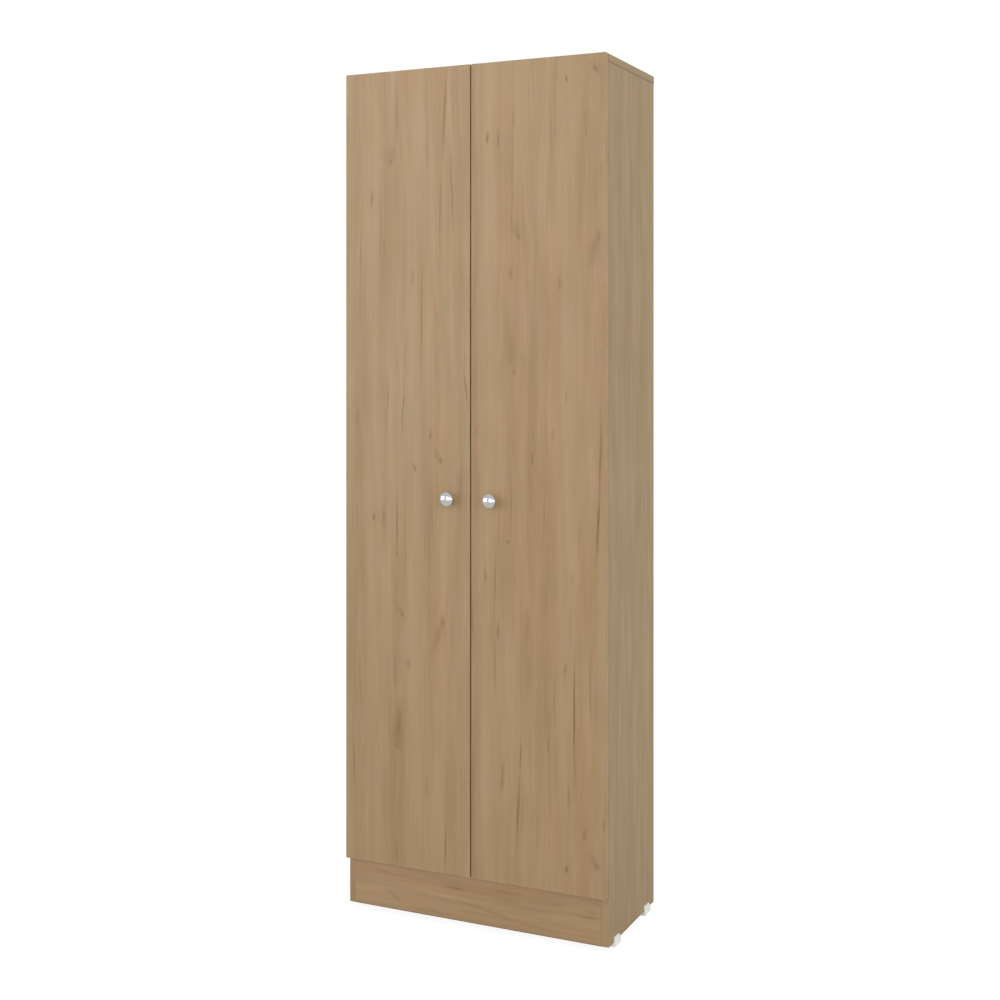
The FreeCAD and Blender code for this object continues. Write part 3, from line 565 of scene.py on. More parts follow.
left_pale = [
    (-234, 1500, 18, 520, 38), (-230, 620, 22, 620, 42), (-132, 1600, 17, 260, 50),
    (-137, 1150, 18, 320, 34), (-132, 500, 19, 560, 50), (-172, 1100, 26, 380, 24),
    (-62, 1340, 10, 200, 34), (-62, 790, 11, 190, 40), (-84, 190, 32, 200, 28),
    (-90, 1680, 14, 150, 14),
]
left_look = {"pale": left_pale, "marks": left_bands + left_marks}
dress("left_door", board_finish("left_door_oak", "X", "Z", "Y", 1.3, **left_look))
print("dark marks on the left door:", len(left_look["marks"]))

# %% [markdown]
# ## The right door
# The right door is cut from another part of the print, so it has another seed and its own
# marks: among them a knot in its upper corner and a long dark line near its outer edge.

# %% Dress the right door
right_marks = [
    (278, 1774, 6, 8, 63, -0.6), (278, 1776, 14, 20, 24, -0.5), (216, 1756, 3, 8, 70, -0.2),
    (98, 1686, 4, 20, 34, 0.05), (95, 1560, 1.8, 190, 35, 0.012), (182, 1630, 2.2, 84, 27),
    (257, 1674, 2.8, 26, 41), (258, 1645, 2.6, 18, 54), (262, 1687, 2.6, 22, 24),
    (39, 1648, 3.4, 11, 57), (63, 1644, 3.2, 24, 41), (172, 1480, 1.8, 40, 24),
    (109, 1443, 5, 8, 55, -0.2), (104, 1452, 11, 20, 24, -0.4), (284, 1436, 6, 16, 40, 0.1),
    (276, 1412, 13, 40, 27, 0.25), (268, 1388, 5, 16, 24, 0.2), (92, 1366, 4.5, 14, 41),
    (201, 1346, 5, 13, 32), (99, 1264, 9, 18, 16), (290, 1574, 3, 16, 26), (95, 1210, 13, 60, 31),
    (92, 1192, 5, 16, 43), (99, 1164, 6, 13, 42), (140, 988, 3.6, 22, 62), (138, 900, 5, 80, 29),
    (186, 1036, 3, 18, 32), (171, 1010, 2, 75, 28, -0.01), (166, 860, 1.8, 70, 40, 0.04),
    (289, 990, 2.4, 80, 58, 0.02), (284, 860, 3, 70, 68, 0.05), (94, 900, 2.6, 60, 30, 0.02),
    (85, 816, 4.5, 5, 60), (56, 720, 2.4, 100, 41, 0.03), (34, 740, 3, 17, 49),
    (172, 704, 4, 46, 22, 0.14), (155, 651, 2.4, 34, 22, 0.2), (129, 640, 8, 66, 31),
    (224, 655, 3, 40, 21), (227, 743, 3, 11, 31), (215, 1111, 2.4, 13, 35), (263, 740, 12, 150, 6),
    (3, 660, 3, 70, 47, -0.02), (64, 630, 4, 24, 42), (56, 560, 2.4, 60, 47),
    (130, 560, 12, 80, 21), (233, 470, 2.6, 150, 70), (114, 377, 2.4, 40, 53, 0.04),
    (109, 270, 3, 75, 62, 0.05), (175, 407, 3.2, 26, 39, 0.06), (175, 460, 12, 60, 28),
    (74, 342, 3.4, 26, 51), (73, 318, 4, 16, 40), (221, 308, 3, 30, 34), (255, 234, 5, 15, 42, 0.1),
    (275, 184, 9, 13, 28, -0.4), (281, 175, 6, 7, 56, -0.2), (216, 160, 3.6, 8, 60, 0.1),
    (296, 258, 4, 12, 33), (213, 566, 4, 14, 39, 0.1), (212, 548, 4, 20, 16),
    (267, 564, 5, 50, 29, 0.05), (5, 300, 6, 200, 27), (246, 1520, 9, 150, 16),
    (7, 1700, 7, 190, 26), (133, 1500, 7, 200, 12), (244, 835, 3, 38, 30), (13, 1040, 4, 16, 29),
    (188, 490, 3, 80, 28), (267, 520, 3, 60, 29, -0.02),
]
right_bands = [
    (11, 900, 9, 1500, 13), (139, 1040, 18, 460, 17), (93, 1060, 14, 230, 13),
    (172, 560, 30, 400, 13), (260, 1650, 20, 200, 13), (142, 1370, 28, 190, 11),
    (183, 1620, 15, 200, 7), (76, 790, 28, 190, 10), (236, 440, 11, 200, 10),
    (137, 640, 11, 330, 9),
]
right_pale = [
    (40, 1540, 19, 500, 44), (42, 980, 20, 360, 36), (38, 420, 18, 480, 46),
    (111, 1640, 12, 190, 30), (212, 1560, 16, 380, 44), (218, 1050, 19, 420, 50),
    (209, 500, 16, 420, 52), (98, 330, 20, 320, 26), (268, 960, 26, 240, 24),
    (262, 520, 14, 190, 24),
]
right_look = {"pale": right_pale, "marks": right_bands + right_marks}
dress("right_door", board_finish("right_door_oak", "X", "Z", "Y", 4.1, **right_look))
print("dark marks on the right door:", len(right_look["marks"]))

# %% [markdown]
# ## The other boards
# The sides carry the same upright grain. The kick board and all level boards are cut the other
# way, with the grain along their length. On the sides a thin dark line follows the upper end,
# where the saw has cut through the coating: it is drawn as one more mark, a very wide and low
# one. Boards that aren't seen shut still differ from each other by their seed.

# %% Dress the sides, the kick board and the level boards
side_seams = [(20, 1789.2, 4000, 1.5, 62), (20, 10.6, 4000, 1.2, 50), (159, 900, 0.9, 9000, 45)]
# The sides and the top panel's ends look sideways, and get the same print in darker, browner tans
# than the doors: painted shade for the weaker light on those faces.
sideways_shade_tans = (tint(158, 130, 91), tint(155, 131, 91))
kick_seams = [(11, 0, 1.2, 4000, 40)]
side_marks = [
    (-108, 900, 9, 900, 10), (-20, 1430, 5, 40, 18), (-30, 1180, 5, 60, 16), (60, 1300, 5, 140, 12),
    (130, 1500, 6, 200, 12), (40, 700, 5, 200, 12), (-70, 560, 4, 120, 14), (90, 1020, 4, 160, 12),
    (20, 320, 5, 110, 12),
]
kick_marks = [
    (85, -205, 4, 45, 23, -0.12), (76, -150, 3, 36, 14, -0.05), (45, -198, 4, 10, 25),
    (36, -184, 4.5, 11, 32, -0.45), (78, -47, 4, 16, 30), (92, -60, 4, 60, 12), (86, 75, 5, 34, 21),
    (70, 70, 4, 30, 19), (73, 160, 3.5, 36, 23), (78, 185, 4, 14, 28), (47, 0, 3, 38, 27, -0.10),
    (38, 50, 3.5, 36, 31, -0.22), (27, 130, 3.2, 60, 23, -0.10), (64, 255, 3.2, 30, 31),
    (74, 262, 4, 16, 25), (58, 110, 5, 60, 12), (20, -100, 3, 60, 14), (24, 240, 3, 50, 14),
    (95, -110, 4, 70, 14, -0.03), (60, 150, 2.4, 70, 18, 0.03), (52, -90, 2.4, 60, 14),
]
kick_pale = [(66, -240, 14, 40, 16), (50, 190, 7, 90, 34, -0.03), (40, -40, 8, 70, 24, -0.1)]
kick_look = {"pale": kick_pale, "marks": kick_marks, "seams": kick_seams}
left_side_look = {"seams": side_seams, "tans": sideways_shade_tans}
right_side_look = {"marks": side_marks, **left_side_look}
dress("right_side", board_finish("right_side_oak", "Y", "Z", "X", 7.7, **right_side_look))
dress("left_side", board_finish("left_side_oak", "Y", "Z", "X", 9.2, **left_side_look))
dress("kick_board", board_finish("kick_board_oak", "Z", "X", "Y", 2.6, **kick_look))
level_boards = ["top_panel", "bottom_panel", "lowest_shelf", "lower_shelf"]
level_boards += ["middle_shelf", "upper_shelf", "highest_shelf"]
for number, board in enumerate(level_boards):
    dress(board, board_finish(board + "_oak", "Y", "X", "Z", 11.3 + 2.9 * number))
print("level boards:", level_boards)

# %% [markdown]
# ## Turning a mesh into a finished piece
# Every piece that is modelled here ends in the same way: its faces are shaded smooth, but edges
# that are really corners are kept sharp, and the mesh gets a name, a finish and a body to ride
# on. Where a node of the CAD model is the same thing in a plainer form, the piece stands for it.

# %% Helpers for pieces
def gather(parts):
    """Put several small meshes into one."""
    whole = bmesh.new()
    for part in parts:
        passing = bpy.data.meshes.new("passing")
        part.to_mesh(passing)
        part.free()
        whole.from_mesh(passing)
        bpy.data.meshes.remove(passing)
    return whole


def finish_piece(mesh, name, body, slot, finishes, *stands_for):
    for face in mesh.faces:
        face.smooth = True
    for edge in mesh.edges:
        edge.smooth = edge.calc_face_angle(0) < math.radians(34)
    data = bpy.data.meshes.new(name)
    mesh.to_mesh(data)
    mesh.free()
    for finish in finishes:
        data.materials.append(finish)
    piece = bpy.data.objects.new(name, data)
    bpy.context.scene.collection.objects.link(piece)
    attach(piece, body)
    if stands_for:
        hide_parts(*stands_for)
    sizes = [round(1000 * size, 1) for size in piece.dimensions]
    print(name, len(data.polygons), "faces,", sizes, "mm")
    return piece


# %% [markdown]
# ## The edge strips
# A strip of printed plastic 0.8 mm thick is glued to each edge that shows, and a scraper rounds
# its two outer corners. Upright, level and deep strips differ in the way their grain runs, so
# each has its own finish. The top panel's ends also get thin dark seams, where the scraper has
# cut through the print.

# %% Make the strips' finishes
strip_seed = 31.0


def strip_finish(name, across, along, **drawn):
    finish, tree, _, oak, colour = printed_finish(name, across, along, strip_seed, **drawn)
    bump = bump_from(tree, oak["Height"], 0.00004)
    set_shader(finish, {"Base Color": colour, "Roughness": oak["Roughness"], "Normal": bump})
    return finish


end_seams = [
    (1804.4, 20, 0.9, 4000, 40), (1790.4, 20, 0.8, 4000, 30), (1797, -120.6, 900, 1.6, 55),
    (1797, 160, 900, 1.2, 35),
]
# The deep strips look sideways like the sides, and share their tans with the painted shade in them.
strip_finishes = [
    strip_finish("upright_strip", "X", "Z"), strip_finish("level_strip", "Z", "X"),
    strip_finish("deep_strip", "Z", "Y", seams=end_seams, tans=sideways_shade_tans),
]
print("strip finishes:", [finish.name for finish in strip_finishes])

# %% [markdown]
# ## Cutting one strip
# Each strip is a cube stretched to its place, with only the edges of its outer face bevelled.
# That tiny rounding is what catches the light along a real board's edge. Its place comes from
# the board that it is glued to, so the two can't drift apart.

# %% Helpers for one strip
strip_thickness, strip_rounding = 0.0008, 0.0006
directions = {"left": (0, 0), "right": (0, 1), "front": (1, 0), "bottom": (2, 0), "top": (2, 1)}


def edge_strip(low, high, side, finish_number):
    """A strip just outside one side of a board's core, which lies between two corners."""
    axis, end = directions[side]
    low, high = low.copy(), high.copy()
    if end:
        low[axis] = high[axis]
        high[axis] += strip_thickness
    else:
        high[axis] = low[axis]
        low[axis] -= strip_thickness
    strip = bmesh.new()
    bmesh.ops.create_cube(strip, size=1)
    bmesh.ops.scale(strip, vec=high - low, verts=strip.verts)
    bmesh.ops.translate(strip, vec=(low + high) / 2, verts=strip.verts)
    outwards = Vector((0, 0, 0))
    outwards[axis] = 1 if end else -1
    outer_face = max(strip.faces, key=lambda face: face.normal.dot(outwards))
    bmesh.ops.bevel(
        strip, geom=list(outer_face.edges), offset=strip_rounding, segments=3,
        profile=0.5, affect="EDGES", material=-1,
    )
    for face in strip.faces:
        face.material_index = finish_number
    return strip


def grown(corners, axis, by):
    """The same two corners, moved apart along one axis."""
    low, high = corners[0].copy(), corners[1].copy()
    low[axis] -= by
    high[axis] += by
    return low, high


print("strips can lie on these sides:", list(directions))

# %% [markdown]
# ## Gluing on the strips
# A door has strips on all four edges, and the upright ones run past the level ones, as they
# are glued on last. The carcass and the shelves only have them where an edge shows.

# %% Glue on the edge strips
for side in ("left", "right"):
    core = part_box(side + "_door")
    tall = grown(core, 2, strip_thickness)
    strips = [edge_strip(*tall, "left", 0), edge_strip(*tall, "right", 0)]
    strips += [edge_strip(*core, "bottom", 1), edge_strip(*core, "top", 1)]
    finish_piece(
        gather(strips), side + "_door_strips", side + "_door_leaf", "oak_edge",
        strip_finishes, side + "_door_edge_bands",
    )

carcass_strips = [edge_strip(*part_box(board), "front", 0) for board in ("left_side", "right_side")]
for board in ("top_panel", "bottom_panel", "middle_shelf"):
    carcass_strips.append(edge_strip(*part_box(board), "front", 1))
top_low, top_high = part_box("top_panel")
top_low.y -= strip_thickness
carcass_strips += [edge_strip(top_low, top_high, end, 2) for end in ("left", "right")]
finish_piece(
    gather(carcass_strips), "carcass_strips", "carcass", "oak_edge", strip_finishes,
    "carcass_edge_bands",
)

for shelf in ("lowest_shelf", "lower_shelf", "upper_shelf", "highest_shelf"):
    finish_piece(
        edge_strip(*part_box(shelf), "front", 1), shelf + "_strip", shelf + "_board", "oak_edge",
        strip_finishes, shelf + "_edge_band",
    )

# %% [markdown]
# ## The back panels
# The back is thin fibreboard in two halves. Its front is printed to match the boards, and its
# rear is left raw: a flat, even brown felt of fibres. The sign of the face's direction tells the
# two sides apart. The print is the same group as on the boards, so front and sides match.

# %% Dress the back panels
def back_finish(name, seed):
    finish, tree, spot, oak, colour = printed_finish(name, "X", "Z", seed)
    fibres = cloud(tree, times(tree, spot, (620, 620, 620)), 4.0, 0.7)
    patches = cloud(tree, times(tree, spot, (9, 9, 9)))
    raw = mix_tints(tree, fade(tree, fibres, 0.35, 0.65), tint(118, 84, 54), tint(150, 112, 76))
    raw = mix_tints(tree, fade(tree, patches, 0.35, 0.65, 0.0, 0.14), raw, tint(104, 74, 48))
    printed = fade(tree, facing(tree, "Y"), -0.85, -0.95)
    height = product(tree, calc(tree, "SUBTRACT", 1.0, printed), fibres)
    set_shader(finish, {
        "Base Color": mix_tints(tree, printed, raw, colour),
        "Roughness": fade(tree, printed, 0.0, 1.0, 0.82, 0.5),
        "Normal": bump_from(tree, height, 0.00025),
    })
    return finish


dress("back_panel_lower", back_finish("lower_back_board", 41.0))
dress("back_panel_upper", back_finish("upper_back_board", 44.0))
print("back panels dressed")

# %% [markdown]
# ## Metals
# Chrome is almost a mirror, so its colour comes from the room, and only a faint cloud in the
# roughness keeps it from looking like glass. Nickel on the hinges is duller, and zinc castings
# and plated screws are duller still, with the fine grain of a casting as a bump.

# %% Make the metals
def drifting_finish(name, tints, roughness, cell, bump, detail, rough):
    """Tone and roughness drift between two values each, in cells of a given size in metres."""
    finish, tree = new_finish(name)
    cells = times(tree, coordinates(tree, "Object"), (1 / cell, 1 / cell, 1 / cell))
    drift = fade(tree, cloud(tree, cells, detail, rough), 0.3, 0.7)
    set_shader(finish, {
        "Base Color": mix_tints(tree, drift, *tints),
        "Roughness": fade(tree, drift, 0.0, 1.0, *roughness),
        "Normal": bump_from(tree, drift, bump),
    })
    return finish


def metal_finish(name, dark, light, roughness, cell, bump):
    finish = drifting_finish(name, ((*dark, 1), (*light, 1)), roughness, cell, bump, 3.0, 0.6)
    set_shader(finish, {"Metallic": 1.0})
    return finish


chrome = metal_finish(
    "chrome", (0.78, 0.795, 0.82), (0.81, 0.825, 0.85), (0.04, 0.08), 0.004, 0.000002
)
nickel = metal_finish(
    "nickel", (0.62, 0.61, 0.59), (0.67, 0.66, 0.64), (0.24, 0.30), 0.006, 0.000002
)
zinc = metal_finish(
    "zinc", (0.42, 0.43, 0.45), (0.52, 0.53, 0.55), (0.38, 0.52), 0.0012, 0.00003
)
bright_zinc = metal_finish(
    "bright_zinc", (0.60, 0.61, 0.63), (0.66, 0.67, 0.69), (0.26, 0.34), 0.004, 0.000003
)
print("metals:", chrome.name, nickel.name, zinc.name, bright_zinc.name)

# %% [markdown]
# ## Plastics and raw beech
# The feet are milky plastic that lets a little light in under its surface, the cam covers are
# coloured to match the boards, and the bumpers are clear. The dowels are raw beech, with short
# fine fibres. Moulded plastic drifts in tone and roughness just as the metals do, so it shares
# their recipe and only leaves out the Metallic value.

# %% Make the plastics and the raw beech
def plastic_finish(name, dark, light, roughness, cell, bump):
    """A moulded plastic, with the finely sparked surface of its mould."""
    return drifting_finish(name, (tint(*dark), tint(*light)), roughness, cell, bump, 2.0, 0.5)


foot_plastic = plastic_finish(
    "foot_plastic", (238, 239, 233), (244, 245, 240), (0.36, 0.46), 0.0006, 0.00002
)
set_shader(foot_plastic, {
    "Subsurface Weight": 0.6, "Subsurface Radius": (1.0, 1.0, 0.9), "Subsurface Scale": 0.003,
})
oak_plastic = plastic_finish(
    "oak_plastic", (160, 134, 102), (166, 141, 109), (0.40, 0.50), 0.0006, 0.00002
)
clear_plastic = plastic_finish(
    "clear_plastic", (226, 228, 228), (236, 237, 236), (0.15, 0.25), 0.0008, 0.00001
)
set_shader(clear_plastic, {"Transmission Weight": 0.8})

beech, beech_tree = new_finish("beech")
beech_cells = times(beech_tree, coordinates(beech_tree, "Object"), (300, 900, 300))
beech_grain = cloud(beech_tree, beech_cells, 3.0, 0.6)
beech_share = fade(beech_tree, beech_grain, 0.35, 0.65)
set_shader(beech, {
    "Base Color": mix_tints(beech_tree, beech_share, tint(196, 152, 104), tint(221, 184, 139)),
    "Roughness": fade(beech_tree, beech_grain, 0.3, 0.7, 0.6, 0.75),
    "Normal": bump_from(beech_tree, beech_grain, 0.0001),
})
dress("wood_dowels", beech)
print("plastics:", foot_plastic.name, oak_plastic.name, clear_plastic.name)

# %% [markdown]
# ## Turning on a lathe
# The knobs, screws, caps and bumpers are all round, so they are modelled as a lathe would make
# them. Half an outline is drawn from a few points, with arcs that the spin operator makes from
# one point. A second spin turns the outline once around its axis, and merges where it closes.
# Each part is turned upright at the origin, and is only then moved to its place.

# %% Helpers for turned parts
def add_arc(mesh, start, centre, degrees, steps):
    """Carry a point around a centre, and return where it ends."""
    made = bmesh.ops.spin(
        mesh, geom=[start], cent=centre, axis=(0, 1, 0), angle=math.radians(degrees),
        steps=steps, use_merge=False,
    )
    return [part for part in made["geom_last"] if isinstance(part, bmesh.types.BMVert)][0]


def add_path(mesh, start, *points):
    """Straight runs from a vertex, or from the first point. Returns the last vertex."""
    for point in points:
        stop = mesh.verts.new(point)
        if start is not None:
            mesh.edges.new((start, stop))
        start = stop
    return start


def full_turn(mesh, steps):
    """Spin the whole outline once around the Z axis and close it."""
    geometry = mesh.verts[:] + mesh.edges[:]
    bmesh.ops.spin(
        mesh, geom=geometry, cent=(0, 0, 0), axis=(0, 0, 1), angle=math.tau,
        steps=steps, use_merge=True,
    )
    bmesh.ops.remove_doubles(mesh, verts=mesh.verts, dist=1e-6)
    bmesh.ops.recalc_face_normals(mesh, faces=mesh.faces)


def round_edges(mesh, width, segments, sharper_than=50):
    """Bevel every edge that turns by more than some degrees."""
    limit = math.radians(sharper_than)
    sharp = [edge for edge in mesh.edges if edge.calc_face_angle(0) > limit]
    bmesh.ops.bevel(
        mesh, geom=sharp, offset=width, segments=segments, profile=0.5, affect="EDGES",
        material=-1, clamp_overlap=True,
    )


def stand_on(mesh, place, outwards):
    """Move an upright piece from the origin to its place, its top looking outwards."""
    turn = Vector((0, 0, 1)).rotation_difference(Vector(outwards)).to_matrix().to_4x4()
    bmesh.ops.transform(mesh, matrix=Matrix.Translation(place) @ turn, verts=mesh.verts)
    return mesh


# %% [markdown]
# ## The chrome knobs
# Each knob has a round foot, a waist that flares out like a trumpet, a narrow rim and a dome
# that rises from it. The dome's radius follows from how wide it is and how far it rises, so it
# ends exactly where the real one does. The crisp edges of the rim and the foot are bevelled,
# as polishing leaves them.

# %% Turn the knobs
knob_low, knob_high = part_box("right_knob")
knob_stand = knob_high.y - knob_low.y
foot_radius, foot_edge = 0.0085, 0.0018
waist_radius, waist_at, flare_centre = 0.0060, 0.008, 0.0132
rim_back, rim_front, knob_radius = 0.0158, 0.0171, 0.0153
dome_rise = knob_stand - rim_front
dome_radius = (knob_radius ** 2 + dome_rise ** 2) / (2 * dome_rise)
dome_angle = math.degrees(math.asin(knob_radius / dome_radius))


def turned_knob(place):
    knob = bmesh.new()
    foot = add_path(knob, None, (0, 0, 0), (foot_radius, 0, 0), (foot_radius, 0, foot_edge))
    waist = add_path(knob, foot, (waist_radius, 0, waist_at))
    flare = add_arc(knob, waist, (flare_centre, 0, waist_at), 90, 10)
    dome_foot = add_path(knob, flare, (knob_radius, 0, rim_back), (knob_radius, 0, rim_front))
    add_arc(knob, dome_foot, (0, 0, knob_stand - dome_radius), -dome_angle, 16)
    full_turn(knob, 72)
    round_edges(knob, 0.0005, 3, 36)
    return stand_on(knob, place, (0, -1, 0))


knob_middle = (knob_low + knob_high) / 2
sides = (("left", -1), ("right", 1))
for side, mirror in sides:
    place = Vector((mirror * knob_middle.x, knob_high.y, knob_middle.z))
    finish_piece(
        turned_knob(place), side + "_turned_knob", side + "_door_leaf", "chrome",
        [chrome], side + "_knob",
    )
print("dome radius:", round(1000 * dome_radius, 2), "mm")

# %% [markdown]
# ## Pressed, cast and moulded parts
# The feet, hinge parts, shelf pins and brackets already have their real shapes in the CAD model,
# with the right bends, eyes and bores, but every edge is perfectly sharp. A press or a mould
# always leaves a small rounding. So these parts are copied, the copy's loose triangles are
# joined and merged into flat faces, and a bevel modifier rounds what is left of the sharp edges.

# %% Soften the edges of a CAD part
body_of_node = {}
for body, members in frame["record"]["behaviour"]["bodies"].items():
    for node in members:
        body_of_node[node] = body


def softened(node, slot, finish, width):
    mesh = bmesh.new()
    mesh.from_mesh(cad_nodes[node].data)
    bmesh.ops.remove_doubles(mesh, verts=mesh.verts, dist=1e-6)
    flat = math.radians(0.5)
    bmesh.ops.dissolve_limit(mesh, angle_limit=flat, verts=mesh.verts, edges=mesh.edges)
    bmesh.ops.recalc_face_normals(mesh, faces=mesh.faces)
    for face in mesh.faces:
        face.material_index = 0
    piece = finish_piece(mesh, node + "_part", body_of_node[node], slot, [finish], node)
    rounding = piece.modifiers.new("rounding", "BEVEL")
    rounding.width = width
    rounding.segments = 2
    rounding.limit_method = "ANGLE"
    rounding.angle_limit = math.radians(40)
    rounding.use_clamp_overlap = True
    rounding.harden_normals = True
    return piece


hinge_parts = {
    "_hinge_plates": 0.00035, "_hinge_arms": 0.0003, "_outer_links": 0.0002,
    "_inner_links": 0.0003, "_hinge_cups": 0.00025,
}
for side in ("left", "right"):
    softened(side + "_front_foot", "foot_plastic", foot_plastic, 0.0006)
    softened(side + "_rear_foot", "foot_plastic", foot_plastic, 0.0006)
    for part, width in hinge_parts.items():
        softened(side + part, "nickel", nickel, width)
softened("anti_tip_brackets", "zinc", bright_zinc, 0.0004)
softened("back_joiner", "oak_plastic", oak_plastic, 0.0002)
softened("shelf_pins", "nickel", nickel, 0.0003)
softened("cam_locks", "zinc", zinc, 0.0003)

# %% [markdown]
# ## Screws with a cross recess
# A countersunk or pan-head screw is turned round, but its recess isn't, so two operators share
# the work. A spin makes the shank and the head, and leaves a round opening on top. A flat cross
# is laid in the opening, the two rims are bridged, and the cross is then extruded downwards and
# drawn in a little, as the pressing tool does. One recipe serves every size of screw.

# %% Make one screw
def cross_screw(place, outwards, shank, length, head, head_height):
    """A screw whose head stands on a place, looking outwards. Shank and head are radii."""
    screw = bmesh.new()
    tip = (0, 0, -length), (shank * 0.4, 0, -length * 0.94), (shank, 0, -length * 0.8)
    collar = (shank, 0, 0), (head, 0, 0), (head, 0, head_height * 0.35)
    crown = (head * 0.92, 0, head_height * 0.72), (head * 0.62, 0, head_height)
    add_path(screw, None, *tip, *collar, *crown)
    full_turn(screw, 24)
    rim = [edge for edge in screw.edges if edge.is_boundary]
    arm, half = head * 0.48, head * 0.13
    corner = [(arm, half), (half, half), (half, arm)]
    cross = []
    for quarter in range(4):
        turn = Matrix.Rotation(quarter * math.tau / 4, 2)
        cross += [screw.verts.new((*(turn @ Vector(point)), head_height)) for point in corner]
    floor_of_cross = screw.faces.new(cross)
    bmesh.ops.bridge_loops(screw, edges=rim + list(floor_of_cross.edges))
    sunk = bmesh.ops.extrude_face_region(screw, geom=[floor_of_cross])["geom"]
    bmesh.ops.delete(screw, geom=[floor_of_cross], context="FACES_ONLY")
    sunk = [part for part in sunk if isinstance(part, bmesh.types.BMVert)]
    bmesh.ops.scale(screw, vec=(0.6, 0.6, 1), verts=sunk)
    bmesh.ops.translate(screw, vec=(0, 0, -head_height * 0.7), verts=sunk)
    bmesh.ops.recalc_face_normals(screw, faces=screw.faces)
    return stand_on(screw, place, outwards)


# %% [markdown]
# ## The screws on the sides
# All screws of one kind share one piece. Their places repeat those of the CAD model: the two
# inner faces of the sides, the four heights of the hinges and the row in which the shelf pins
# and plate screws sit. Mirrored places give the other side, so each list is written only once.

# %% Set the screws of the hinge plates and arms
plate_screw = (0.0025, 0.012, 0.0038, 0.0015)
arm_screw = (0.002, 0.012, 0.0039, 0.002)
inner_face = 0.285
hinge_heights = (0.210, 0.76573, 1.15127, 1.705)
plate_thickness, plate_half_pitch, plate_length = 0.002, 0.016, 0.034
row_depth, arm_rise = 0.037, 0.0198
front_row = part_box("right_side")[0].y - strip_thickness + row_depth
arm_face, arm_front = inner_face - arm_rise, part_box("right_hinge_plates")[0].y

plate_screws, arm_screws = [], []
for height in hinge_heights:
    for mirror in (-1, 1):
        inwards = (-mirror, 0, 0)
        for step in (-plate_half_pitch, plate_half_pitch):
            place = (mirror * (inner_face - plate_thickness), front_row, height + step)
            plate_screws.append(cross_screw(place, inwards, *plate_screw))
        for share in (0.2, 0.8):
            place = (mirror * arm_face, arm_front + share * plate_length, height)
            arm_screws.append(cross_screw(place, inwards, *arm_screw))
finish_piece(
    gather(plate_screws), "plate_screws_part", "carcass", "nickel", [bright_zinc],
    "hinge_plate_screws",
)
finish_piece(
    gather(arm_screws), "arm_screws_part", "carcass", "nickel", [bright_zinc],
    "hinge_arm_screws",
)

# %% [markdown]
# ## The screws in the doors
# Two small screws hold each hinge cup, through the ears above and below it, and one long screw
# goes through the door into the knob. They swing with the door, so each door has its own pieces.

# %% Set the screws of the cups and knobs
cup_screw = (0.0017, 0.012, 0.0033, 0.0012)
knob_screw = (0.002, 0.026, 0.0042, 0.0024)
door_back, door_edge = -0.12175, 0.300
cup_screw_in, cup_half_pitch, cup_ear = 0.027, 0.024, 0.001
knob_x, knob_level = 0.049, 0.898

for side, mirror in sides:
    cup_screws = []
    for height in hinge_heights:
        for step in (-cup_half_pitch, cup_half_pitch):
            place = (mirror * (door_edge - cup_screw_in), door_back + cup_ear, height + step)
            cup_screws.append(cross_screw(place, (0, 1, 0), *cup_screw))
    finish_piece(
        gather(cup_screws), side + "_cup_screws_part", side + "_door_leaf", "nickel",
        [bright_zinc], side + "_cup_screws",
    )
    place = (mirror * knob_x, door_back, knob_level)
    finish_piece(
        cross_screw(place, (0, 1, 0), *knob_screw), side + "_knob_screw_part",
        side + "_door_leaf", "zinc", [bright_zinc], side + "_knob_screw",
    )

# %% [markdown]
# ## The screws of the brackets
# Two brackets under the top panel's rear edge are there to be fixed to a wall, so that the
# cabinet can't tip over. Their screws point upwards into the panel.

# %% Set the screws of the brackets
bracket_screw = (0.0018, 0.011, 0.0035, 0.0016)
bracket_screws = []
bracket_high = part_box("anti_tip_brackets")[1]
bracket_x, bracket_depth, bracket_plate = 0.200, 0.040, 0.002
for mirror in (-1, 1):
    for share in (0.25, 0.6):
        row = bracket_high.y - bracket_depth + share * bracket_depth
        place = (mirror * bracket_x, row, bracket_high.z - bracket_plate)
        bracket_screws.append(cross_screw(place, (0, 0, -1), *bracket_screw))
finish_piece(
    gather(bracket_screws), "bracket_screws_part", "carcass", "zinc", [bright_zinc],
    "bracket_screws",
)

# %% [markdown]
# ## The caps
# Thin plastic caps hide the upper cam locks. Each has a plug that holds it in the lock and a
# flat round top. It is half an outline and one full turn, and a bevel takes the sharp edge off.

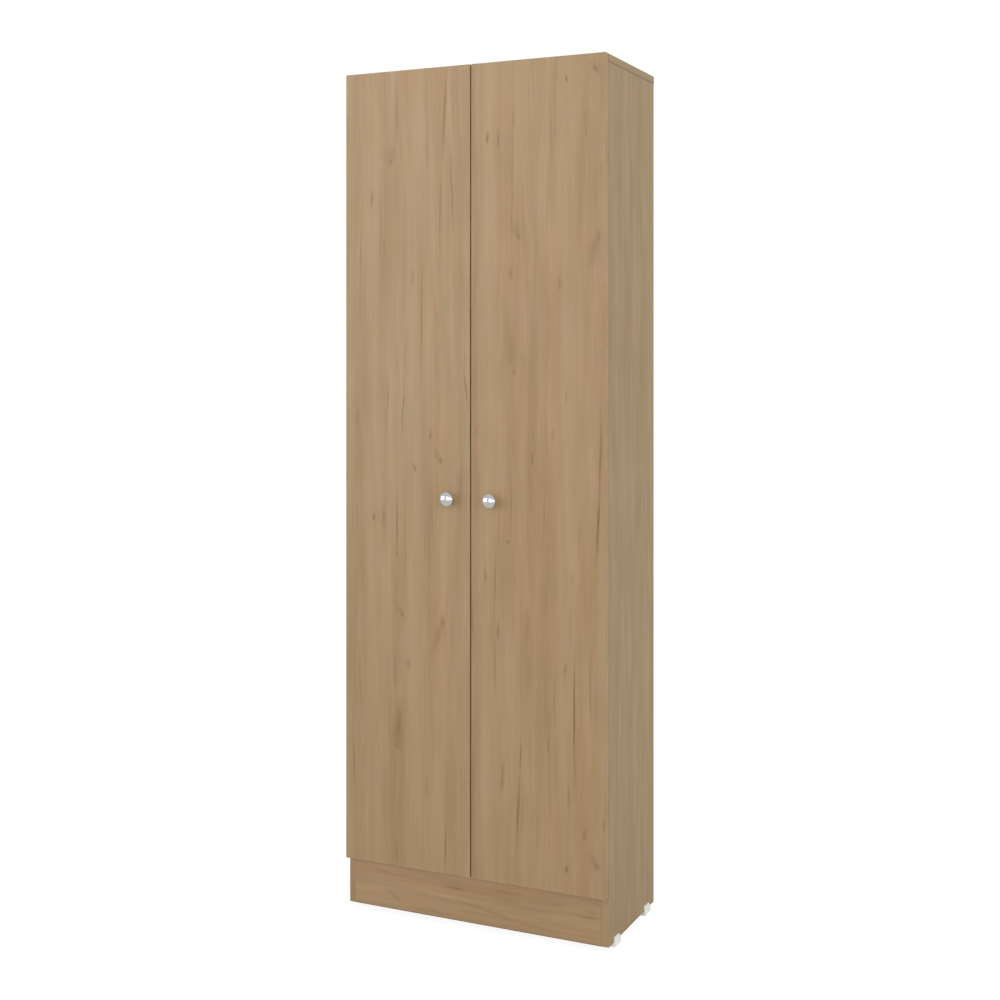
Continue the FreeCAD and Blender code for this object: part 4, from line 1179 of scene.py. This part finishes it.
# %% Turn the caps
def turned_part(place, outwards, *outline, steps=24, rounding=0.0):
    part = bmesh.new()
    add_path(part, None, *outline)
    full_turn(part, steps)
    if rounding:
        round_edges(part, rounding, 2, 60)
    return stand_on(part, place, outwards)


pin_collar, panel_below, cam_depth = 0.0036, 1.790, 0.034
rear_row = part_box("shelf_pins")[1].y - pin_collar
cap_height = panel_below - cam_depth
plug_radius, plug_depth, cap_radius, cap_top = 0.00215, 0.0014, 0.0085, 0.0012
plug = (0, 0, -plug_depth), (plug_radius, 0, -plug_depth), (plug_radius, 0, 0)
cap = (cap_radius, 0, 0), (cap_radius, 0, cap_top), (0, 0, cap_top)
caps = []
for mirror in (-1, 1):
    for row in (front_row, rear_row):
        place = (mirror * inner_face, row, cap_height)
        caps.append(turned_part(place, (-mirror, 0, 0), *plug, *cap, steps=32, rounding=0.0004))
finish_piece(gather(caps), "cam_caps", "carcass", "oak_plastic", [oak_plastic], "cam_covers")

# %% [markdown]
# ## The bumpers
# Clear soft bumpers are stuck to the back of each door, at the top and the bottom, and keep it
# from knocking. Their dome is so low that three short runs are enough for it.

# %% Turn the bumpers
bumper_x, bumper_heights = 0.0135, (0.1195, 1.7975)
bumper_base = (0, 0, 0), (0.004, 0, 0), (0.004, 0, 0.0003)
bumper_dome = (0.0034, 0, 0.0008), (0.0020, 0, 0.0011), (0, 0, 0.0012)
for side, mirror in sides:
    bumpers = []
    for height in bumper_heights:
        place = (mirror * bumper_x, door_back, height)
        bumpers.append(turned_part(place, (0, 1, 0), *bumper_base, *bumper_dome))
    finish_piece(
        gather(bumpers), side + "_clear_bumpers", side + "_door_leaf", "clear_plastic",
        [clear_plastic], side + "_door_bumpers",
    )

# %% [markdown]
# ## Nails and pins
# What is left of the hardware is plain rods and flat heads, and most of it is hidden in holes.
# The CAD model has its exact shape, so it only needs a metal.

# %% Dress the nails and pins
for node in ("back_nails", "foot_nails", "cam_bolts"):
    dress(node, bright_zinc)
for side in ("left", "right"):
    dress(side + "_arm_pins", nickel)
    dress(side + "_cup_pins", nickel)
print("nodes still shown:", sum(not node.hide_render for node in cad_nodes.values()))
